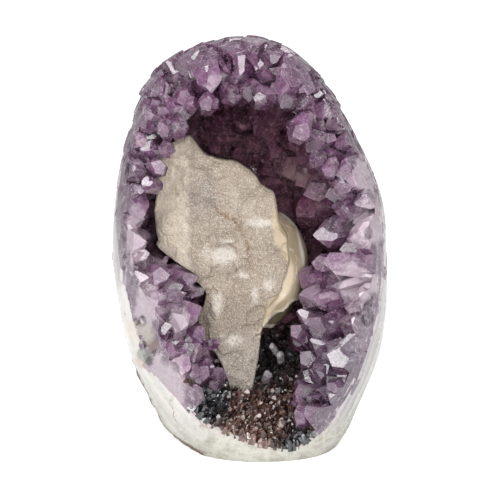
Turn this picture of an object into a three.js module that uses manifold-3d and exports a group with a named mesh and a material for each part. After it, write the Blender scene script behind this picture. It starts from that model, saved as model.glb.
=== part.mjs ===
// Amethyst geode: a sawn and polished half of a geode that stands on a flat cut base, with an open
// cavity lined with amethyst points, a sugar-coated calcite blade in it and a dark druse at its foot.
//
// Two frames are used, both in millimetres:
//  - the face frame: X to the right, V up along the polished face, W out of the face to the front.
//    The whole stone is laid out in it, because its outline is the outline of that face;
//  - the part frame: +Z up, standing on z = 0, the open face towards -Y. The face leans back in it.
import * as THREE from "three";
import { ConvexGeometry } from "three/addons/geometries/ConvexGeometry.js";
import { mergeVertices } from "three/addons/utils/BufferGeometryUtils.js";
import Module from "manifold-3d";

// ---------------------------------------------------------------- driving dimensions
const LEAN = THREE.MathUtils.degToRad(10); // how far the polished face leans back from upright
const FACE_HEIGHT = 69.5; // height of the face frame's origin above the sawn base
const FRONT_DEPTH = 40; // bulge of the stone in front of its widest outline
const BACK_DEPTH = 45; // bulge behind it
const CAVITY_BACK = 34; // depth of the crystal-lined cavity behind the widest outline
const CAVITY_FRONT = 78; // the cavity's walls run out through the polished face with this taper
const HEEL = 0.14; // how much fuller the lower back is than the outline, so that the stone stands
const CREST = 2.4; // how far the natural points at the top stand out of the polished surface
const FLOOR_FLARE = 0.42; // how much the cavity's floor drops for each millimetre to the front
const RIND = 3; // thickness of the rough rock skin
const BED = 3.5; // thickness of the grown-together quartz under the points, deep in the cavity
const BED_AT_RIM = 1.3; // and where the polished surface cuts it
const VAULT_FOOT = 36; // how high on the face the bed is parted into vault and wall
const GAP = 0.3; // clearance between neighbouring nodes
const BODY_DETAIL = 7; // icosahedron steps of the outer body
const CAVITY_DETAIL = 4; // of the cavity
const TRIM_DETAIL = 4; // and of the surface that the rim's crystals are polished back to

// Outline of the stone at its widest, anticlockwise from the right. The part below the sawn base is cut off.
const STONE_OUTLINE = [
  [50.9, 0], [49.2, 18.7], [39.9, 41], [26, 62], [12.5, 73.8], [-4, 77.5], [-20.5, 74], [-35.5, 64.5],
  [-44.7, 46], [-50, 23], [-51.6, 1], [-49, -24], [-41.8, -50], [-33.5, -69], [-17, -87],
  [8, -93], [28, -85], [40.3, -63], [48, -41], [51, -20],
];
// Outline of the surface that the crystals grow from, where it crosses the widest plane.
const CAVITY_OUTLINE = [
  [47.6, 0], [47, 14], [41.4, 36], [26.4, 61.8], [12.7, 74], [-4, 77.7], [-20.6, 74.2], [-35.7, 64.6],
  [-44.6, 46], [-48.4, 26], [-47.2, 5], [-43.5, -14], [-35.5, -34], [-25, -46], [-15.5, -54],
  [-4.5, -59], [7, -65], [15, -67], [23, -62], [34, -50], [42.5, -35], [46.6, -17],
];

// The rough rind starts behind this slanted plane of the face frame: W = a + b X + c V.
const RIND_EDGE = { a: -8, b: -0.2, c: -0.16 };

// Boundary of the dark druse at the cavity's foot, seen from the front.
const DRUSE_OUTLINE = [
  [-20, -47], [-8, -45], [3, -31], [17, -32], [20, -45], [21, -60], [24, -73], [15, -82], [0, -78],
  [-13, -70], [-21, -60],
];

// Outline of the sugar-coated calcite blade, seen from the front.
const BLADE_OUTLINE = [
  [-32, 37.5], [-26, 41.2], [-21.4, 42], [-19.5, 39.4], [-13, 35], [-6.5, 33.8], [0, 30], [4.5, 24.5],
  [9.6, 20], [9.8, 15], [14, 4], [13, -14], [8, -25], [4.5, -31.5], [3, -41], [1.8, -47], [0, -54.5],
  [-2.6, -57], [-6.7, -54.4], [-9.4, -47], [-12, -41.5], [-17, -37.5], [-19.8, -31], [-18, -22],
  [-17.6, -15], [-21, -11], [-26, -5.5], [-32, -1.8], [-34.8, 3.8], [-35.6, 11], [-34.8, 22.5],
];
const BLADE = { thickness: 7.5, atV: -2, w: 8.5, pitch: THREE.MathUtils.degToRad(8) };
// Its broad facets: a place on the facet and the way that it faces, on the blade laid flat.
const BLADE_FACETS = [
  { at: [-23, 20, 0], normal: [-0.36, 0.06, 1] },
  { at: [0, -18, 0], normal: [0.04, -0.11, 1] },
  { at: [2, 22, 0], normal: [0.22, 0.2, 1] },
  { at: [-12, -24, 0], normal: [-0.3, -0.12, 1] },
];

// Outline of the glassy calcite lobe behind the blade's right side.
const LOBE = { x: 5, v: -7, w: -9, rx: 16.8, rv: 22.5, rw: 19 };

// Large amethyst points: where the tip is [X, V, W], and the prism's half-width. The root follows from
// the cavity wall behind the tip.
const POINTS = [
  [-5, 71, 8, 5.2], [-16.5, 69, 6, 4.2], [10.5, 68, 9, 5.0], [-28, 63, 10, 4.8], [-4, 63, 20, 3.6],
  [-14, 58.5, 22, 5.6], [-31, 56.5, 17, 4.8], [10.5, 57, 22, 5.8], [22, 61, 13, 4.4],
  [-32.5, 46.5, 15, 5.2], [-20, 49, -12, 4.6], [-3, 46, -17, 5.8], [15.5, 45, -4, 5.0],
  [24.5, 49, 14, 4.6], [30.5, 48, 14, 4.4], [33, 38.5, 15, 4.8], [31, 28.5, 19, 5.4],
  [38, 31, 12, 4.4], [39.5, 22, 15, 4.8], [-38, 30, 16, 4.8], [-41, 22, 22, 5.2],
  [-39, 13, 16, 4.2], [-37, -8.5, 19, 4.6], [8, 34, -19, 5.4], [22, 30, -12, 5.4],
  [27.5, 9, 2, 5.0], [31, 15, 10, 4.6], [38, 9, 20, 4.6], [26.5, -3.2, 18, 6.2],
  [28.5, -13.5, 6, 5.4], [36, -21.5, 19, 4.8], [23, -27, 8, 6.2], [35.5, -29.5, 19, 5.2],
  [22.5, -38.5, 12, 4.8], [28, -45, 22, 6.6], [27, -57, 22, 4.8], [-25, -15, 17, 4.6],
  [-22.5, -23, 18, 5.6], [-27, -35, 22, 4.6], [-16, -41.5, 16, 4.6], [-10.5, -43, 12, 4.4],
];

// Small clear quartz needles that stand on the dark druse.
const NEEDLES = [
  [7.5, -35.5, 1, 1.1, 9], [11, -38.5, 2, 1.3, 6], [7, -46, 1, 1.5, 6], [-2.5, -58, 9, 1.4, 5],
];

const COLOURS = {
  rind: { color: 0x6f675a, roughness: 0.9 },
  agate: { color: 0xd6d3cc, roughness: 0.25 },
  bed: { color: 0x6d4a7c, roughness: 0.2 },
  point: { color: 0x8d62a3, roughness: 0.12 },
  druse: { color: 0x2c1c1a, roughness: 0.35 },
  sugar: { color: 0xc4b096, roughness: 0.6 },
  honey: { color: 0xbfa57c, roughness: 0.2 },
  quartz: { color: 0xc9ccd2, roughness: 0.1 },
};

// ---------------------------------------------------------------- solids
const wasm = await Module();
wasm.setup();

/** A closed three.js geometry as a manifold-3d solid. */
function solidOf(geometry) {
  const bare = geometry.index ? geometry.toNonIndexed() : geometry.clone();
  bare.deleteAttribute("normal");
  bare.deleteAttribute("uv");
  const merged = mergeVertices(bare, 1e-4);
  return new wasm.Manifold(
    new wasm.Mesh({
      numProp: 3,
      vertProperties: merged.attributes.position.array,
      triVerts: new Uint32Array(merged.index.array),
    }),
  );
}

/** The largest body of a solid, so that crumbs left by a cut are dropped. */
function mainBody(solid) {
  return solid.decompose().reduce((most, body) => (body.volume() > most.volume() ? body : most));
}

/** A solid as a three.js geometry. */
function geometryOf(solid) {
  const mesh = solid.getMesh();
  const places = new Float32Array(mesh.numVert * 3);
  for (let i = 0; i < mesh.numVert; i++) {
    places.set(mesh.vertProperties.subarray(i * mesh.numProp, i * mesh.numProp + 3), i * 3);
  }
  const geometry = new THREE.BufferGeometry();
  geometry.setAttribute("position", new THREE.BufferAttribute(places, 3));
  geometry.setIndex(new THREE.BufferAttribute(mesh.triVerts, 1));
  geometry.computeVertexNormals();
  return geometry;
}

/** Numbers from 0 to 1 that are the same each run. */
function seeded(seed) {
  let state = seed;
  return () => {
    state = (state + 0x6d2b79f5) | 0;
    let t = Math.imul(state ^ (state >>> 15), 1 | state);
    t = (t + Math.imul(t ^ (t >>> 7), 61 | t)) ^ t;
    return ((t ^ (t >>> 14)) >>> 0) / 4294967296;
  };
}

// ---------------------------------------------------------------- the stone's surfaces
/** The distance from the origin to a closed smooth outline, as a function of the angle. */
function radiusOf(outline) {
  const curve = new THREE.CatmullRomCurve3(
    outline.map(([x, v]) => new THREE.Vector3(x, v, 0)), true, "centripetal",
  );
  const STEPS = 720;
  const table = curve
    .getPoints(STEPS)
    .slice(0, STEPS)
    .map((p) => [THREE.MathUtils.euclideanModulo(Math.atan2(p.y, p.x), 2 * Math.PI), Math.hypot(p.x, p.y)])
    .sort((a, b) => a[0] - b[0]);
  return (angle) => {
    const a = THREE.MathUtils.euclideanModulo(angle, 2 * Math.PI);
    let high = table.findIndex((entry) => entry[0] > a);
    if (high < 0) high = 0;
    const [a1, r1] = table[high];
    const [a0, r0] = table[(high + STEPS - 1) % STEPS];
    const span = THREE.MathUtils.euclideanModulo(a1 - a0, 2 * Math.PI) || 1;
    return r0 + ((r1 - r0) * THREE.MathUtils.euclideanModulo(a - a0, 2 * Math.PI)) / span;
  };
}

const stoneRadius = radiusOf(STONE_OUTLINE);
const cavityRadius = radiusOf(CAVITY_OUTLINE);

/** Below 0 inside the stone, above 0 outside, on a point of the face frame. */
function stoneField(p) {
  const angle = Math.atan2(p.y, p.x);
  const heel = 1 + HEEL * Math.max(0, -Math.sin(angle)) ** 2 * THREE.MathUtils.smoothstep(-p.z, 0, BACK_DEPTH);
  const across = Math.hypot(p.x, p.y) / stoneRadius(angle) / heel;
  const deep = Math.abs(p.z) / (p.z > 0 ? FRONT_DEPTH : BACK_DEPTH);
  return (across ** 2.2 + deep ** 2.2) ** (1 / 2.2) - 1;
}

/** The same for the surface that the crystals grow from. */
function cavityField(p) {
  const angle = Math.atan2(p.y, p.x);
  const flare = FLOOR_FLARE * Math.max(0, -Math.sin(angle)) ** 2;
  const across = Math.max(0, Math.hypot(p.x, p.y) - flare * p.z) / cavityRadius(angle);
  const power = p.z > 0 ? 3 : 2.3;
  const deep = Math.abs(p.z) / (p.z > 0 ? CAVITY_FRONT : CAVITY_BACK);
  return (across ** power + deep ** power) ** (1 / power) - 1;
}

/** How far along a direction from a start inside it a field crosses 0. */
function reach(field, start, direction) {
  let near = 0;
  let far = 160;
  const at = new THREE.Vector3();
  for (let i = 0; i < 40; i++) {
    const middle = (near + far) / 2;
    if (field(at.copy(direction).multiplyScalar(middle).add(start)) < 0) near = middle;
    else far = middle;
  }
  return near;
}

/** The outward normal of a field's surface. */
function outward(field, p) {
  const h = 0.2;
  const step = (x, y, z) => field(new THREE.Vector3(p.x + x, p.y + y, p.z + z));
  return new THREE.Vector3(
    step(h, 0, 0) - step(-h, 0, 0), step(0, h, 0) - step(0, -h, 0), step(0, 0, h) - step(0, 0, -h),
  ).normalize();
}

/** A closed solid of a field's surface, moved out by grow(point) millimetres along each ray. */
function fieldSolid(field, detail, grow) {
  const geometry = new THREE.IcosahedronGeometry(1, detail);
  const places = geometry.attributes.position;
  const centre = new THREE.Vector3();
  const d = new THREE.Vector3();
  for (let i = 0; i < places.count; i++) {
    d.fromBufferAttribute(places, i).normalize();
    // Even steps over the stone need more rays towards its top and foot.
    d.set(d.x, d.y * 1.4, d.z).normalize();
    const distance = reach(field, centre, d);
    const p = d.clone().multiplyScalar(distance);
    p.add(d.multiplyScalar(grow(p)));
    places.setXYZ(i, p.x, p.y, p.z);
  }
  return solidOf(geometry);
}

/** A large box of the face frame that holds everything behind a plane. */
function behindPlane(place, normal) {
  const SIZE = 400;
  const box = new THREE.BoxGeometry(SIZE, SIZE, SIZE);
  box.translate(0, 0, -SIZE / 2);
  const turn = new THREE.Quaternion().setFromUnitVectors(new THREE.Vector3(0, 0, 1), normal.clone().normalize());
  box.applyQuaternion(turn);
  box.translate(place.x, place.y, place.z);
  return solidOf(box);
}

/** Everything behind the rind's edge, moved forward by shift. */
const behindRindEdge = (shift) =>
  behindPlane(new THREE.Vector3(0, 0, RIND_EDGE.a + shift), new THREE.Vector3(-RIND_EDGE.b, -RIND_EDGE.c, 1));

/** The lumps of the natural rock skin, in millimetres, fading out at the polished edge. */
function lumps(p) {
  const behind = RIND_EDGE.a + RIND_EDGE.b * p.x + RIND_EDGE.c * p.y - p.z;
  const fade = THREE.MathUtils.smoothstep(behind, 0, 14);
  const wave =
    Math.sin(p.x * 0.21 + 1.3) * Math.cos(p.y * 0.17 - 0.4) + 0.6 * Math.sin(p.x * 0.1 - p.y * 0.26 + 2);
  return fade * wave;
}

/** Face frame to part frame. */
const toPart = new THREE.Matrix4()
  .makeTranslation(0, 0, FACE_HEIGHT)
  .multiply(
    new THREE.Matrix4().makeBasis(
      new THREE.Vector3(1, 0, 0),
      new THREE.Vector3(0, Math.sin(LEAN), Math.cos(LEAN)),
      new THREE.Vector3(0, -Math.cos(LEAN), Math.sin(LEAN)),
    ),
  );
const toFace = toPart.clone().invert();

/** Everything below the sawn base, as a solid of the face frame. */
const belowBase = () => {
  const up = new THREE.Vector3(0, 0, 1).transformDirection(toFace);
  return behindPlane(new THREE.Vector3().applyMatrix4(toFace), up);
};

/** A prism of an outline of the face, from one W to another. */
function outlinePrism(outline, back, front, grow = 0) {
  const middle = outline.reduce((sum, [x, v]) => [sum[0] + x / outline.length, sum[1] + v / outline.length], [0, 0]);
  const grown = outline.map(([x, v]) => {
    const away = new THREE.Vector2(x - middle[0], v - middle[1]);
    return new THREE.Vector2(middle[0], middle[1]).add(away.setLength(away.length() + grow));
  });
  const prism = new THREE.ExtrudeGeometry(new THREE.Shape(grown), {
    depth: front - back, bevelEnabled: false,
  });
  prism.translate(0, 0, back);
  return solidOf(prism);
}

// ---------------------------------------------------------------- quartz points
const PYRAMID = THREE.MathUtils.degToRad(51.8); // tilt of a quartz end face's normal from the long axis

/** The convex solid inside planes given as { normal, offset }. */
function insidePlanes(planes) {
  const corners = [];
  const cross = new THREE.Vector3();
  for (let i = 0; i < planes.length; i++) {
    for (let j = i + 1; j < planes.length; j++) {
      cross.crossVectors(planes[i].normal, planes[j].normal);
      if (cross.lengthSq() < 1e-8) continue;
      for (let k = j + 1; k < planes.length; k++) {
        const det = cross.dot(planes[k].normal);
        if (Math.abs(det) < 1e-6) continue;
        const p = new THREE.Vector3()
          .crossVectors(planes[j].normal, planes[k].normal)
          .multiplyScalar(planes[i].offset)
          .add(new THREE.Vector3().crossVectors(planes[k].normal, planes[i].normal).multiplyScalar(planes[j].offset))
          .add(cross.clone().multiplyScalar(planes[k].offset))
          .divideScalar(det);
        const kept = planes.every((q) => q.normal.dot(p) < q.offset + 1e-5);
        if (kept && corners.every((other) => other.distanceTo(p) > 0.02)) corners.push(p);
      }
    }
  }
  return new ConvexGeometry(corners);
}

/** One quartz point: root to tip along an axis, with uneven faces, every face grown out by grow.
 *  Small ones end in three faces only. */
function quartzPoint(root, tip, halfWidth, random, grow = 0, small = false) {
  const axis = tip.clone().sub(root);
  const length = axis.length();
  const roll = random() * Math.PI;
  const planes = [{ normal: new THREE.Vector3(0, 0, -1), offset: grow }];
  for (let k = 0; k < 6; k++) {
    const angle = roll + (k * Math.PI) / 3;
    const side = new THREE.Vector3(Math.cos(angle), Math.sin(angle), 0);
    planes.push({ normal: side, offset: halfWidth * (0.88 + 0.24 * random()) + grow });
    // Every other end face is set back, so that three of the six are large.
    const back = halfWidth * (k % 2 ? 0.1 + 0.25 * random() : 0.06 * random());
    if (small && k % 2) continue;
    const end = side.clone().multiplyScalar(Math.sin(PYRAMID)).setZ(Math.cos(PYRAMID));
    planes.push({ normal: end, offset: length * Math.cos(PYRAMID) + back + grow });
  }
  const geometry = insidePlanes(planes);
  geometry.applyQuaternion(new THREE.Quaternion().setFromUnitVectors(new THREE.Vector3(0, 0, 1), axis.normalize()));
  geometry.translate(root.x, root.y, root.z);
  return solidOf(geometry);
}

/** The way that a crystal grows from the cavity wall nearest to a place, leaning a little forward. */
function growthAt(place) {
  const centre = new THREE.Vector3(0, 0, Math.min(place.z, 0) * 0.3);
  const ray = place.clone().sub(centre).normalize();
  const wall = ray.clone().multiplyScalar(reach(cavityField, centre, ray)).add(centre);
  const forward = 0.25 + 0.5 * THREE.MathUtils.smoothstep(place.y, 40, 62);
  return outward(cavityField, wall).negate().add(new THREE.Vector3(0, 0, forward)).normalize();
}

/** Root of a crystal whose tip is given: in the cavity wall behind it. */
function rootBehind(tip) {
  const away = growthAt(tip).negate();
  return away.clone().multiplyScalar(reach(cavityField, tip, away) - 1).add(tip);
}

// ---------------------------------------------------------------- the pieces
const core = (p) => -RIND * THREE.MathUtils.smoothstep(-p.z, -30, -10) * 1;
const stone = fieldSolid(stoneField, BODY_DETAIL, lumps);
const inner = fieldSolid(stoneField, BODY_DETAIL, core);
const innerGrown = fieldSolid(stoneField, BODY_DETAIL, (p) => core(p) + GAP);
const sawn = belowBase();
const hollow = fieldSolid(cavityField, CAVITY_DETAIL, () => 0);
const lining = fieldSolid(cavityField, CAVITY_DETAIL, () => -GAP);
const bedDepth = (p) => THREE.MathUtils.lerp(BED, BED_AT_RIM, THREE.MathUtils.smoothstep(p.z, -12, 10));
const bedTop = fieldSolid(cavityField, CAVITY_DETAIL, (p) => -GAP - bedDepth(p));
const aboveBed = fieldSolid(cavityField, CAVITY_DETAIL, (p) => -GAP - bedDepth(p) - GAP);

const polishedBody = stone.subtract(behindRindEdge(0)).add(inner.intersect(behindRindEdge(0.01)));
const agateShell = mainBody(polishedBody.subtract(hollow).subtract(sawn));
const rind = mainBody(
  stone.intersect(behindRindEdge(-GAP)).subtract(innerGrown).subtract(hollow).subtract(sawn),
);

/** A crystal inside the cavity's lining, polished back to the stone's surface, but not at the top. */
const crest = fieldSolid(stoneField, TRIM_DETAIL, (p) => CREST * THREE.MathUtils.smoothstep(p.y, 50, 64));
const trimmed = (solid, room = lining) => solid.intersect(room).intersect(crest);

// The calcite: a flat blade, and the glassy lobe that it grew on.
function bladeSolid(grow) {
  const shape = new THREE.Shape(BLADE_OUTLINE.map(([x, v]) => new THREE.Vector2(x, v)));
  const bevel = 2;
  const geometry = new THREE.ExtrudeGeometry(shape, {
    depth: BLADE.thickness - bevel, bevelEnabled: true, bevelThickness: bevel + grow,
    bevelSize: grow, bevelOffset: 0, bevelSegments: 1,
  });
  geometry.translate(0, 0, -BLADE.thickness);
  let solid = solidOf(geometry);
  for (const { at, normal } of BLADE_FACETS) {
    const faces = new THREE.Vector3(...normal).normalize();
    solid = solid.intersect(behindPlane(new THREE.Vector3(...at).addScaledVector(faces, grow), faces));
  }
  const lift = new THREE.Matrix4()
    .makeTranslation(0, BLADE.atV, BLADE.w)
    .multiply(new THREE.Matrix4().makeRotationX(BLADE.pitch))
    .multiply(new THREE.Matrix4().makeTranslation(0, -BLADE.atV, 0));
  return solidOf(geometryOf(solid).applyMatrix4(lift));
}

function lobeSolid(grow) {
  const geometry = new THREE.SphereGeometry(1, 20, 14);
  geometry.scale(LOBE.rx + grow, LOBE.rv + grow, LOBE.rw + grow);
  geometry.translate(LOBE.x, LOBE.v, LOBE.w);
  return solidOf(geometry);
}

const blade = mainBody(bladeSolid(0).intersect(aboveBed));
const bladeGrown = bladeSolid(GAP);
const lobeRoom = lobeSolid(GAP);

const pointSeeds = POINTS.map((_, i) => 101 + 17 * i);
const pointSolids = [];
const pointRoots = [];
let taken = bladeGrown.add(lobeRoom).intersect(bedTop);
POINTS.forEach(([x, v, w, halfWidth], i) => {
  const tip = new THREE.Vector3(x, v, w);
  const root = rootBehind(tip);
  const room = quartzPoint(root, tip, halfWidth, seeded(pointSeeds[i]), GAP);
  const grown = quartzPoint(root, tip, halfWidth, seeded(pointSeeds[i]), 0);
  pointSolids.push(mainBody(trimmed(grown, aboveBed).subtract(taken)));
  pointRoots.push(root);
  taken = taken.add(room.intersect(bedTop));
});

// The dark druse: a layer over the cavity's foot, studded with short points.
const druseRegion = outlinePrism(DRUSE_OUTLINE, -60, 60);
const druseRoom = outlinePrism(DRUSE_OUTLINE, -60, 60, GAP);

/** Short quartz points over the cavity wall, spread evenly, where keep(root) is true. */
function scatter({ seed, tries, spacing, halfWidth, length, keep, clear = [] }) {
  const random = seeded(seed);
  const roots = [];
  const solids = [];
  for (let i = 0; i < tries; i++) {
    const up = 2 * random() - 1;
    const turn = 2 * Math.PI * random();
    const flat = Math.sqrt(1 - up * up);
    const ray = new THREE.Vector3(flat * Math.cos(turn), 1.4 * flat * Math.sin(turn), up).normalize();
    const root = ray.clone().multiplyScalar(reach(cavityField, new THREE.Vector3(), ray));
    const draw = [random(), random(), random(), random(), random()];
    if (stoneField(root) > 0.03 || !keep(root)) continue;
    if ([...roots, ...clear].some((other) => other.distanceTo(root) < spacing)) continue;
    roots.push(root);
    const growth = outward(cavityField, root).negate();
    const seat = growth.clone().multiplyScalar(0.6 * bedDepth(root)).add(root);
    growth.add(new THREE.Vector3(draw[0] - 0.5, draw[1] - 0.5, draw[2] - 0.3).multiplyScalar(0.25)).normalize();
    const tip = growth.clone().multiplyScalar(length * (0.75 + 0.5 * draw[3])).add(root);
    solids.push(quartzPoint(seat, tip, halfWidth * (0.8 + 0.4 * draw[4]), random, 0, true));
  }
  return solids;
}

/** Whether a place lies within an outline, seen from the front. */
function within(outline, p) {
  const crossings = outline.filter(([x, v], i) => {
    const [nextX, nextV] = outline[(i + 1) % outline.length];
    return v > p.y !== nextV > p.y && p.x < ((nextX - x) * (p.y - v)) / (nextV - v) + x;
  });
  return crossings.length % 2 === 1;
}
const inDruse = (p) => p.z > -32 && within(DRUSE_OUTLINE, p);
const behindBlade = (p) => p.z < 5 && p.y > -40 && within(BLADE_OUTLINE, p);

const layer = lining.subtract(bedTop);
const bedPoints = scatter({
  seed: 7, tries: 2600, spacing: 11, halfWidth: 5, length: 11, clear: pointRoots,
  keep: (p) => !inDruse(p) && !behindBlade(p),
});
const bed = mainBody(
  trimmed(wasm.Manifold.union([layer, ...bedPoints])).subtract(druseRoom).subtract(taken).subtract(sawn),
);

// The bed is parted along the middle and under the vault, so that each piece curves one way.
const sideways = new THREE.Vector3(1, 0, 0);
const upwards = new THREE.Vector3(0, 1, 0);
const parted = (axis, at, sign) => behindPlane(
  axis.clone().multiplyScalar(at - (sign * GAP) / 2), axis.clone().multiplyScalar(sign),
);
const bedPieces = [["vault", -1], ["wall", 1]].flatMap(([place, below]) => (
  [["left", 1], ["right", -1]].map(([side, leftward]) => [
    `amethyst_bed_${place}_${side}`,
    mainBody(bed.intersect(parted(upwards, VAULT_FOOT, below)).intersect(parted(sideways, 0, leftward))),
  ])
));

const drusePoints = scatter({
  seed: 31, tries: 2600, spacing: 9, halfWidth: 3.8, length: 8, keep: inDruse,
});
const druse = mainBody(
  trimmed(wasm.Manifold.union([layer, ...drusePoints]).intersect(druseRegion)).subtract(taken).subtract(sawn),
);

// The needles stand on the druse's layer.
let needleRooms = null;
const needleSolids = NEEDLES.map(([x, v, w, halfWidth, length], i) => {
  const tip = new THREE.Vector3(x, v, w);
  const lean = new THREE.Vector3(0.35 - 0.3 * i, -0.6, -0.7).normalize();
  const root = lean.clone().multiplyScalar(Math.min(length, reach(cavityField, tip, lean) - 1)).add(tip);
  const room = quartzPoint(root, tip, halfWidth, seeded(900 + i), GAP);
  needleRooms = needleRooms ? needleRooms.add(room) : room;
  return mainBody(trimmed(quartzPoint(root, tip, halfWidth, seeded(900 + i))).subtract(taken));
});
const druseWithSeats = mainBody(druse.subtract(needleRooms));

const lobe = mainBody(
  trimmed(lobeSolid(0), aboveBed).subtract(bladeGrown),
);

// ---------------------------------------------------------------- the assembly
const placed = new THREE.Group();

function addPiece(name, solid, look) {
  const material = new THREE.MeshStandardMaterial({ ...look, metalness: 0, flatShading: true });
  const mesh = new THREE.Mesh(geometryOf(solid), material);
  mesh.name = name;
  placed.add(mesh);
}

addPiece("basalt_rind", rind, COLOURS.rind);
addPiece("agate_shell", agateShell, COLOURS.agate);
bedPieces.forEach(([name, solid]) => addPiece(name, solid, COLOURS.bed));
pointSolids.forEach((solid, i) => {
  addPiece(`amethyst_point_${String(i + 1).padStart(2, "0")}`, solid, COLOURS.point);
});
addPiece("dark_druse", druseWithSeats, COLOURS.druse);
needleSolids.forEach((solid, i) => addPiece(`quartz_needle_${i + 1}`, solid, COLOURS.quartz));
addPiece("calcite_blade", blade, COLOURS.sugar);
addPiece("calcite_lobe", lobe, COLOURS.honey);

// The group stands upright, centred over the origin.
placed.applyMatrix4(toPart);
const geode = new THREE.Group();
geode.add(placed);
geode.updateMatrixWorld(true);
const extent = new THREE.Box3().setFromObject(geode, true);
placed.position.x -= (extent.min.x + extent.max.x) / 2;
placed.position.y -= (extent.min.y + extent.max.y) / 2;

export default geode;
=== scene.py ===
"""Amethyst geode: a polished agate shell round an open cavity of violet quartz points, with a sugary
calcite blade, a glassy calcite lobe and a dark druse in it.

The stone is laid out in a face frame, in millimetres: X to the right, V up along the open face and W
out of the face to the front. to_row() turns that into the row frame, in metres.
"""

import math
from itertools import combinations

import bmesh
import bpy
import numpy as np
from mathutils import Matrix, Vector


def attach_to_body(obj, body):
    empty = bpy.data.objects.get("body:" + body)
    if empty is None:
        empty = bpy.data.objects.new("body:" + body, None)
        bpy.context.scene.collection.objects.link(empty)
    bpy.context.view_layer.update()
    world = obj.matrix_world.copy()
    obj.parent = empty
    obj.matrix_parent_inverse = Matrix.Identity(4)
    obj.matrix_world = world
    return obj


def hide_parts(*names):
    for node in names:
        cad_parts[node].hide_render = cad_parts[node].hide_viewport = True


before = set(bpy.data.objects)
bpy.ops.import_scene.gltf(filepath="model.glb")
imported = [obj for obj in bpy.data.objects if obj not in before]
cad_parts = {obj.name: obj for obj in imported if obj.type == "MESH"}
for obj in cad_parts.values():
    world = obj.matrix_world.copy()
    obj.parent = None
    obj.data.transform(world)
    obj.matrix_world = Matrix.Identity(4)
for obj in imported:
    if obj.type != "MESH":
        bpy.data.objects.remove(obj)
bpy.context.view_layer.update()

MM = 0.001
TAU = 2 * math.pi
scene = bpy.context.scene

# ---------------------------------------------------------------- the stone's measures
FACE_LEAN = math.radians(10)
FACE_HEIGHT = 69.5
CENTRING = (0.2367, -3.4842)
FRONT_DEPTH, BACK_DEPTH, HEEL = 40.0, 45.0, 0.14
CAVITY_FRONT, CAVITY_BACK, FLOOR_FLARE = 78.0, 34.0, 0.42
TALL = 1.4  # how much more of the directions go up and down, as the stone is taller than wide
STONE_OUTLINE = [
    (50.9, 0), (49.2, 18.7), (39.9, 41), (26, 62), (12.5, 73.8), (-4, 77.5), (-20.5, 74), (-35.5, 64.5),
    (-44.7, 46), (-50, 23), (-51.6, 1), (-49, -24), (-41.8, -50), (-33.5, -69), (-17, -87), (8, -93),
    (28, -85), (40.3, -63), (48, -41), (51, -20),
]
CAVITY_OUTLINE = [
    (47.4, 0), (47, 14), (41.4, 36), (26.4, 61.8), (12.7, 74), (-4, 77.7), (-20.6, 74.2), (-35.7, 64.6),
    (-44.6, 46), (-48.4, 26), (-47.2, 5), (-43, -14), (-34, -32), (-23, -42.5), (-14, -49.5), (-4, -54),
    (6, -58.6), (13, -60.6), (19.5, -57), (29, -48), (38, -33), (44.4, -17),
]
DRUSE_OUTLINE = [
    (-23, -45), (-8, -43), (3, -31), (17, -32), (20, -45), (21, -60), (24, -73), (15, -82), (0, -78),
    (-13, -70), (-21, -60),
]
BLADE_OUTLINE = [
    (-32, 37.5), (-26, 41.2), (-21.4, 42), (-19.5, 39.4), (-13, 35), (-6.5, 33.8), (0, 30), (4.5, 24.5),
    (9.6, 20), (9.8, 15), (14, 4), (12, -14), (6, -24), (4, -31.5), (3, -41), (1.8, -47), (0, -54.5),
    (-2.6, -57), (-6.7, -54.4), (-9.4, -47), (-12, -41.5), (-17, -37.5), (-19.8, -31), (-18, -22),
    (-17.6, -15), (-21, -11), (-26, -5.5), (-32, -1.8), (-34.8, 3.8), (-35.6, 11), (-34.8, 22.5),
]
RIND_EDGE = (-8.0, -0.2, -0.16)
# Tip (X, V, W) and half width of each large point, in the order of the CAD's points.
POINTS = [
    (-5, 71, 8, 5.2), (-16.5, 69, 6, 4.2), (10.5, 68, 9, 5.0), (-28, 63, 10, 4.8), (-4, 63, 20, 3.6),
    (-14, 58.5, 22, 5.6), (-31, 56.5, 17, 4.8), (10.5, 57, 22, 5.8), (22, 61, 13, 4.4),
    (-32.5, 46.5, 15, 5.2), (-20, 49, -12, 4.6), (-3, 46, -17, 5.8), (15.5, 45, -4, 5.0),
    (24.5, 49, 14, 4.6), (30.5, 48, 14, 4.4), (33, 38.5, 15, 4.8), (31, 28.5, 19, 5.4), (38, 31, 12, 4.4),
    (39.5, 22, 15, 4.8), (-38, 30, 16, 4.8), (-41, 22, 22, 5.2), (-39, 13, 16, 4.2), (-37, -8.5, 19, 4.6),
    (8, 34, -19, 5.4), (22, 30, -12, 5.4), (27.5, 9, 2, 5.0), (31, 15, 10, 4.6), (38, 9, 20, 4.6),
    (26.5, -3.2, 18, 6.2), (28.5, -13.5, 6, 5.4), (36, -21.5, 19, 4.8), (23, -27, 8, 6.2),
    (35.5, -29.5, 19, 5.2), (22.5, -38.5, 12, 4.8), (28, -45, 22, 6.6), (27, -57, 22, 4.8),
    (-25, -15, 17, 4.6), (-22.5, -23, 18, 5.6), (-27, -35, 22, 4.6), (-16, -41.5, 16, 4.6),
    (-10.5, -43, 12, 4.4),
]
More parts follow.
